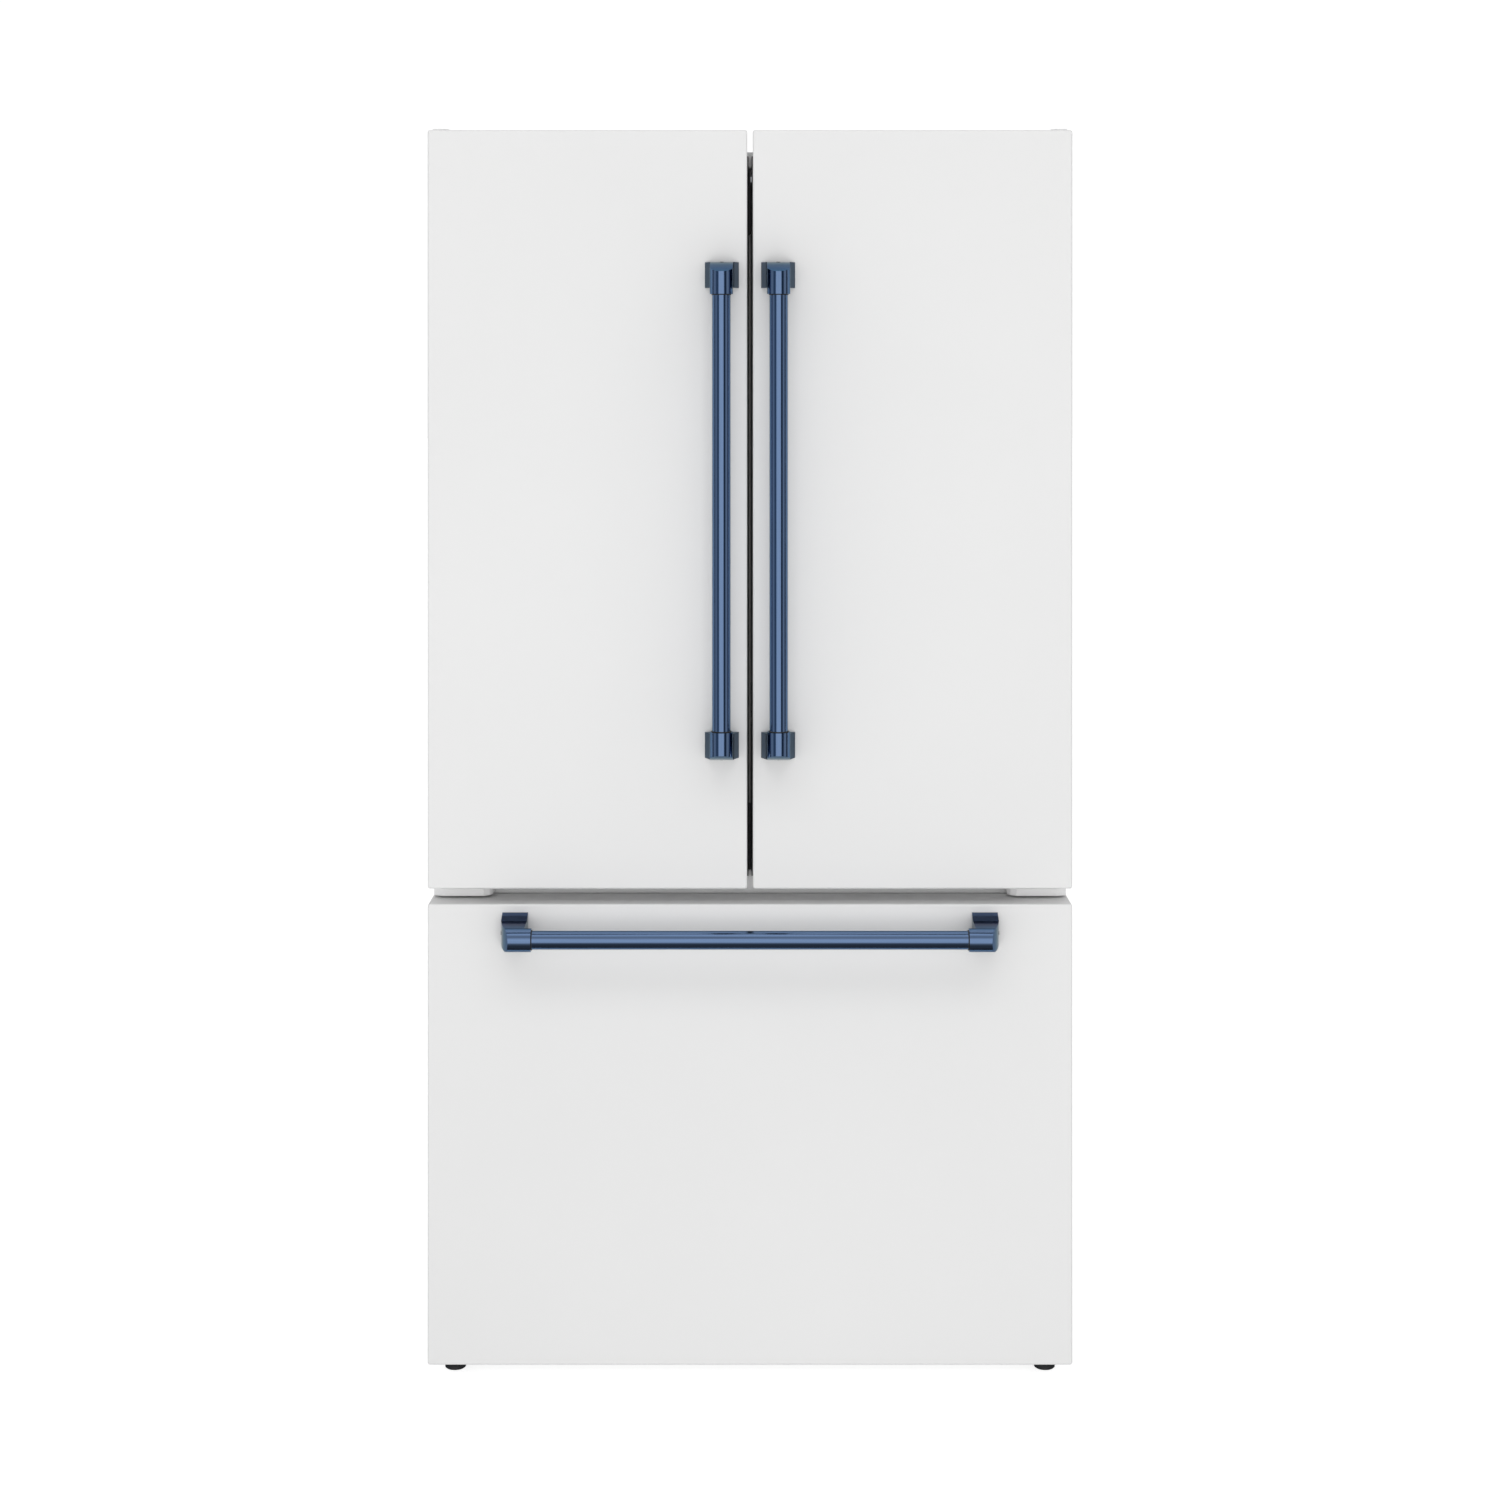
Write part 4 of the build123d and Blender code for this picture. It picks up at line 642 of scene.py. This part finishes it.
def handle_details(side_name, body):
    """Socket set screws in the brackets' ends, and a dark joint ring at each sleeve's mouth."""
    node = f"{side_name}_handle_brackets"
    low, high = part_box(node)
    bar_low, bar_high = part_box(f"{side_name}_handle_bar")
    axis = (bar_low + bar_high) / 2
    along = "z" if high.z - low.z > high.x - low.x else "x"
    index = "xyz".index(along)
    screws, rings = bmesh.new(), bmesh.new()
    for sign, outer in ((-1, low[index]), (1, high[index])):
        direction = along if sign > 0 else "-" + along
        mouth = outer - sign * BRACKET_LENGTH
        centre = axis.copy()
        centre.y = high.y - SET_SCREW_OFF_DOOR
        centre[index] = outer - sign * SET_SCREW_DEPTH
        add_lathe(screws, set_screw_outline(), centre, direction, steps=24)
        centre = axis.copy()
        centre[index] = mouth - sign * JOINT_RING_GAP
        add_lathe(rings, joint_ring_outline(), centre, direction, steps=64)
    piece(f"{side_name}_handle_set_screws", body, BLACK_STEEL, screws)
    piece(f"{side_name}_handle_joint_rings", body, RUBBER, rings)


# ---- mullion ---------------------------------------------------------------------------------
def mullion_details():
    """The mullion's grey bead between two end caps, each cap with its own darker bead."""
    low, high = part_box("flip_mullion")
    front = low.y - BEAD_PROUD
    bottom, top = low.z + CAP_HEIGHT, high.z - CAP_HEIGHT
    bead = bmesh.new()
    add_box(bead, (BEAD_LEFT, front, bottom), (BEAD_RIGHT, low.y + TRIM_SUNK, top), radius=0.5 * MM)
    piece("mullion_bead", "mullion", BEAD_GREY, bead)
    caps = bmesh.new()
    for z0, z1 in ((low.z, bottom - CAP_GAP), (top + CAP_GAP, high.z)):
        cap_low = (low.x + CAP_INSET, low.y - CAP_PROUD, z0)
        add_box(caps, cap_low, (high.x, low.y + TRIM_SUNK, z1), radius=0.3 * MM)
        bead_high = (BEAD_RIGHT, low.y + CAP_BEAD_SUNK, z1)
        add_box(caps, (BEAD_LEFT, front, z0), bead_high, radius=0.5 * MM)
    piece("mullion_end_caps", "mullion", DARK_GREY, caps)


# ---- fresh-food compartment ------------------------------------------------------------------
def liner_ribs():
    """Rounded ribs along the liner's side walls, just below each shelf's level and between."""
    low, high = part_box("fresh_food_liner")
    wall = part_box("glass_shelves")[1].x + WALL_OFF_GLASS
    bm = bmesh.new()
    for z in RIB_LEVELS:
        for side in SIDES:
            x0, x1 = sorted((side * (wall - RIB_PROUD), side * (wall + RIB_SUNK)))
            rib_low = (x0, low.y + RIB_OFF_FRONT, z - RIB_HALF_HEIGHT)
            rib_high = (x1, high.y - RIB_OFF_BACK, z + RIB_HALF_HEIGHT)
            add_box(bm, rib_low, rib_high, radius=2.0 * MM)
    piece("liner_side_ribs", "cabinet", LINER, bm)


def ceiling_block(name, material, half_width, front, back, drop, radius, segments=3):
    """A rounded block under the compartment's ceiling, between two Y coordinates."""
    bm = bmesh.new()
    block_low = (-half_width, front, CEILING_Z - drop)
    add_box(bm, block_low, (half_width, back, CEILING_Z), radius, segments)
    piece(name, "cabinet", material, bm)


def touch_panel_marks():
    """A row of lit dots under the touch panel."""
    dot = in_metres([(0, 0.5), (4, 0.5), (4.4, 0.2), (4.4, 0), (0, 0)])
    bm = bmesh.new()
    for index in range(TOUCH_MARKS):
        x = (index - (TOUCH_MARKS - 1) / 2) * TOUCH_MARK_SPACING
        add_lathe(bm, dot, (x, TOUCH_MARK_Y, CEILING_Z - TOUCH_PANEL_DEPTH), "-z", steps=24)
    piece("touch_panel_marks", "cabinet", LENS, bm)


def lamp_and_controls():
    """The lamp lens, its bezel and the touch panel under the compartment's ceiling."""
    ceiling_block(
        "lamp_lens", LENS, half_width=0.150, front=-0.105, back=-0.045,
        drop=9 * MM, radius=3 * MM, segments=4,
    )
    ceiling_block(
        "lamp_bezel", PALE_PLASTIC, half_width=0.158, front=-0.113, back=-0.037,
        drop=5 * MM, radius=2 * MM,
    )
    ceiling_block(
        "touch_panel", TOUCH, half_width=0.110, front=-0.160, back=-0.120,
        drop=TOUCH_PANEL_DEPTH, radius=2 * MM,
    )
    touch_panel_marks()


def shelf_trims():
    """Brushed strips along the front edges of the shelves and the crisper cover."""
    bm = bmesh.new()
    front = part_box("shelf_frames")[0].y
    for z in SHELF_LEVELS:
        for side in SIDES:
            x0, x1 = sorted((side * SHELF_INNER_X, side * SHELF_OUTER_X))
            trim_low = (x0, front - TRIM_PROUD, z - TRIM_BELOW_SHELF)
            add_box(bm, trim_low, (x1, front + TRIM_SUNK, z + TRIM_ABOVE_SHELF), TRIM_RADIUS)
    low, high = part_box("crisper_cover")
    trim_low = (low.x, low.y - TRIM_PROUD, low.z)
    trim_high = (high.x, low.y + COVER_TRIM_SUNK, high.z + COVER_TRIM_RAISED)
    add_box(bm, trim_low, trim_high, TRIM_RADIUS)
    piece("shelf_front_trims", "cabinet", TRIM, bm)


def crisper_trims(name):
    """A pale handle strip on one crisper's front."""
    low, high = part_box(f"{name}_crisper")
    bm = bmesh.new()
    strip_low = (low.x + STRIP_INSET, low.y - STRIP_PROUD, high.z - STRIP_BOTTOM_BELOW_RIM)
    strip_high = (high.x - STRIP_INSET, low.y + TRIM_SUNK, high.z - STRIP_TOP_BELOW_RIM)
    add_box(bm, strip_low, strip_high, STRIP_RADIUS)
    piece(f"{name}_crisper_handle_strip", f"{name}_crisper", RIM, bm)


def bin_trims(name):
    """A brushed band along the top of each door bin's front."""
    low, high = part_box(f"{name}_door_bins")
    bm = bmesh.new()
    for z in BIN_LEVELS:
        band_low = (low.x + BAND_INSET, high.y - BAND_SUNK, z + BAND_BOTTOM_ABOVE_BIN)
        band_high = (high.x - BAND_INSET, high.y + BAND_PROUD, z + BAND_TOP_ABOVE_BIN)
        add_box(bm, band_low, band_high, STRIP_RADIUS)
    piece(f"{name}_bin_front_bands", f"{name}_door", TRIM, bm)


# ---- outside small parts ---------------------------------------------------------------------
def cabinet_screws():
    """Screws on the back panel, the machine-room cover and the hinge covers."""
    bm = bmesh.new()
    panel_low, panel_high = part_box("back_panel")
    cover_low, cover_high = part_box("machine_room_cover")
    rear = cover_high.y
    edge_levels = (
        panel_high.z - SCREW_BELOW_PANEL_TOP, panel_low.z + SCREW_ABOVE_PANEL_FOOT,
        cover_low.z + SCREW_OFF_COVER_EDGE, cover_high.z - SCREW_OFF_COVER_EDGE,
    )
    for x in BACK_SCREW_COLUMNS:
        for z in edge_levels:
            add_screw(bm, (x, rear, z), "y")
    for z in BACK_SCREW_LEVELS:
        for x in (BACK_SCREW_COLUMNS[0], BACK_SCREW_COLUMNS[-1]):
            add_screw(bm, (x, rear, z), "y")
    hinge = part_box("hinge_covers")[1]
    for side in SIDES:
        x = side * HINGE_COVER_SCREW_X
        centre = (x, hinge.y - HINGE_COVER_SCREW_OFF_BACK, hinge.z - HINGE_COVER_SCREW_SUNK)
        add_screw(bm, centre, "z", radius=3.6 * MM, height=1.9 * MM)
    piece("cabinet_screws", "cabinet", BRIGHT, bm)


def middle_hinge_screws():
    """Two screws under each middle hinge."""
    bm = bmesh.new()
    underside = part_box("door_hinges")[0].z
    for side in SIDES:
        for x in MIDDLE_HINGE_SCREWS_X:
            centre = (side * x, MIDDLE_HINGE_SCREWS_Y, underside)
            add_screw(bm, centre, "-z", radius=4.2 * MM, height=1.6 * MM)
    piece("middle_hinge_screws", "cabinet", BRIGHT, bm)


def pipework():
    """Copper tubes in the machine space and the process tube beside the compressor."""
    bm = bmesh.new()
    add_tube(bm, CONDENSER_TUBE, TUBE_RADIUS)
    add_tube(bm, SUCTION_TUBE, TUBE_RADIUS)
    add_tube(bm, PROCESS_TUBE, PROCESS_TUBE_RADIUS)
    piece("refrigerant_tubes", "cabinet", COPPER, bm)


def foot_outline():
    """A moulded pad, a round collar, and a stem with thread crests."""
    pad = [(0, 0), (13.6, 0), (15.0, 1.2), (15.0, 4.6), (13.2, 7.0)]
    collar = [(9.6, 7.4), (9.6, 12.6), (8.6, 13.4), (5.0, 13.6)]
    thread = []
    height = THREAD_START
    while height < THREAD_STOP:
        thread += [(THREAD_ROOT, height), (THREAD_CREST, height + THREAD_PITCH / 2)]
        height += THREAD_PITCH
    tip = [(4.2, 28.0), (0, 28.0)]
    return in_metres(pad + collar + thread + tip)


def roller_outline():
    """A roller's tyre with two grooves and a recessed hub."""
    hub = [(4.2, 6.0), (8.0, 6.0), (8.6, 6.8), (15.5, 6.8), (16.2, 9.0), (18.6, 9.0)]
    tread = [(19.7, 8.2), (20.0, 7.0), (20.0, 4.2), (19.2, 3.7), (19.2, 2.9), (20.0, 2.4)]
    half = hub + tread
    mirrored = [(radius, -height) for radius, height in reversed(half)]
    return in_metres(half + mirrored + [half[0]])


def feet_and_rollers():
    """Turned feet and rollers in place of the plain CAD ones."""
    for name in ("left", "right"):
        low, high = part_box(f"{name}_foot")
        centre = (low + high) / 2
        bm = bmesh.new()
        add_lathe(bm, foot_outline(), (centre.x, centre.y, low.z), "z", steps=48)
        foot = piece(f"{name}_levelling_foot", f"{name}_foot", BLACK, bm)
        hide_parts(f"{name}_foot")
        low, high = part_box(f"{name}_roller")
        bm = bmesh.new()
        add_lathe(bm, roller_outline(), (low + high) / 2, "x", steps=56)
        wheel = piece(f"{name}_rear_roller", f"{name}_roller", BLACK, bm)
        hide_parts(f"{name}_roller")


# ---- stage -----------------------------------------------------------------------------------
def floor_material():
    """A pale floor that looks brighter to the camera than the light it gives back."""
    m = Material("studio_floor", Specular_IOR_Level=0.0)
    seen = m.add("ShaderNodeLightPath").outputs["Is Camera Ray"]
    m.drive("Emission Strength", m.ramp(seen, FLOOR_BOUNCE, FLOOR_GLOW, start=0.0, stop=1.0))
    m.drive("Base Color", m.shades(m.noise(scale=0.8, detail=3), FLOOR_GREY, low=0.98, high=1.02))
    m.drive("Roughness", m.ramp(m.noise(scale=4, detail=2), low=0.85, high=0.95))
    m.shader.inputs["Emission Color"].default_value = (1, 1, 1, 1)
    return m.material


def floor():
    """A large floor under the refrigerator, kept out of what metal reflects."""
    bm = bmesh.new()
    bmesh.ops.create_grid(bm, x_segments=2, y_segments=2, size=FLOOR_HALF_SIZE)
    mesh = bpy.data.meshes.new("studio_floor")
    bm.to_mesh(mesh)
    bm.free()
    mesh.materials.append(floor_material())
    obj = bpy.data.objects.new("studio_floor", mesh)
    obj.visible_glossy = False
    bpy.context.scene.collection.objects.link(obj)


def area_light(name, place, target, size, power):
    """A soft rectangular lamp aimed at a point, kept out of what metal reflects."""
    data = bpy.data.lights.new(name, "AREA")
    data.shape = "RECTANGLE"
    data.size, data.size_y = size
    data.energy = power
    lamp = bpy.data.objects.new(name, data)
    lamp.location = place
    lamp.rotation_euler = (Vector(target) - Vector(place)).to_track_quat("-Z", "Y").to_euler()
    lamp.visible_glossy = False
    bpy.context.scene.collection.objects.link(lamp)


def world_ramp(nodes, links, factor, stops, shade=(1, 1, 1)):
    """A ramp over a factor from 0 to 1, from (position, brightness) stops, shaded where it is dark."""
    ramp = nodes.new("ShaderNodeValToRGB")
    elements = ramp.color_ramp.elements
    while len(elements) < len(stops):
        elements.new(0.5)
    for element, (position, brightness) in zip(elements, stops):
        element.position = position
        strength = max(0.0, 1.0 - SHADE_FADE * brightness)
        element.color = (*[brightness * (1 + (tint - 1) * strength) for tint in shade], 1)
    links.new(factor, ramp.inputs["Fac"])
    return ramp.outputs["Color"]


def world_math(nodes, links, operation, first, second):
    """One sum on a world node's output, with a second output or a fixed number."""
    node = nodes.new("ShaderNodeMath")
    node.operation = operation
    for socket, value in zip(node.inputs, (first, second)):
        if isinstance(value, (int, float)):
            socket.default_value = value
        else:
            links.new(value, socket)
    return node.outputs["Value"]


def centred(nodes, links, value, scale):
    """A value scaled and moved, so that its zero lands halfway along a ramp."""
    output = world_math(nodes, links, "MULTIPLY_ADD", value, scale)
    output.node.inputs[2].default_value = 0.5
    return output


def reflected_room(nodes, links):
    """The banded room that polished metal reflects: soft boxes in front, dark flags beside them."""
    direction = nodes.new("ShaderNodeSeparateXYZ")
    links.new(nodes.new("ShaderNodeTexCoord").outputs["Generated"], direction.inputs["Vector"])
    forward = world_math(nodes, links, "MULTIPLY", direction.outputs["Y"], -1.0)
    turn = world_math(nodes, links, "ARCTAN2", direction.outputs["X"], forward)
    around = centred(nodes, links, turn, 0.5 / math.pi)
    upward = centred(nodes, links, direction.outputs["Z"], 0.5)
    brightest = max(brightness for _, brightness in REFLECTED_ROUND)
    round_stops = [((angle + 180) / 360, value / brightest) for angle, value in REFLECTED_ROUND]
    upward_stops = [((height + 1) / 2, factor) for height, factor in REFLECTED_UPWARD]
    bands = world_ramp(nodes, links, around, round_stops, ROOM_SHADE)
    falloff = world_ramp(nodes, links, upward, upward_stops)
    product = nodes.new("ShaderNodeMix")
    product.data_type = "RGBA"
    product.blend_type = "MULTIPLY"
    product.inputs["Factor"].default_value = 1.0
    links.new(bands, product.inputs["A"])
    links.new(falloff, product.inputs["B"])
    room = nodes.new("ShaderNodeBackground")
    room.inputs["Strength"].default_value = brightest
    links.new(product.outputs["Result"], room.inputs["Color"])
    return room


def plain_background(node, strength):
    """Sets a background node to white at one strength."""
    node.inputs["Color"].default_value = (1, 1, 1, 1)
    node.inputs["Strength"].default_value = strength
    return node.outputs["Background"]


def switched(nodes, links, ray, when_not, when_so):
    """One of two world shaders, chosen by the kind of ray."""
    mix = nodes.new("ShaderNodeMixShader")
    links.new(ray, mix.inputs["Fac"])
    links.new(when_not, mix.inputs[1])
    links.new(when_so, mix.inputs[2])
    return mix.outputs["Shader"]


def studio():
    """A white studio: plain behind, even for light, and banded in what metal reflects."""
    world = bpy.data.worlds.new("studio")
    bpy.context.scene.world = world
    world.use_nodes = True
    nodes, links = world.node_tree.nodes, world.node_tree.links
    even = plain_background(nodes["Background"], SURROUND_STRENGTH)
    plain = plain_background(nodes.new("ShaderNodeBackground"), BACKGROUND_STRENGTH)
    room = reflected_room(nodes, links).outputs["Background"]
    rays = nodes.new("ShaderNodeLightPath").outputs
    lighting = switched(nodes, links, rays["Is Glossy Ray"], even, room)
    seen = switched(nodes, links, rays["Is Camera Ray"], lighting, plain)
    links.new(seen, nodes["World Output"].inputs["Surface"])
    for lamp in LAMPS:
        area_light(*lamp)


def camera():
    """The viewpoint: level, straight on, framed downwards by a shift."""
    data = bpy.data.cameras.new("camera")
    data.lens = CAMERA_LENS
    data.shift_y = CAMERA_SHIFT_Y
    obj = bpy.data.objects.new("camera", data)
    obj.location = (0, DOOR_FACE_Y - CAMERA_DISTANCE, CAMERA_HEIGHT)
    obj.rotation_euler = (math.pi / 2, 0, 0)
    bpy.context.scene.collection.objects.link(obj)
    bpy.context.scene.camera = obj


dress_frame()
gasket("left_door_seal", "left_door_gasket", "left_door")
gasket("right_door_seal", "right_door_gasket", "right_door")
gasket("drawer_seal", "drawer_gasket", "freezer_drawer")
for part_name, body_name in (("left", "left_door"), ("right", "right_door"), ("drawer", "freezer_drawer")):
    handle_details(part_name, body_name)
mullion_details()
liner_ribs()
lamp_and_controls()
shelf_trims()
for part_name in ("left", "right"):
    crisper_trims(part_name)
    bin_trims(part_name)
cabinet_screws()
middle_hinge_screws()
pipework()
feet_and_rollers()
floor()
studio()
camera()
bpy.context.scene.view_settings.view_transform = "Standard"
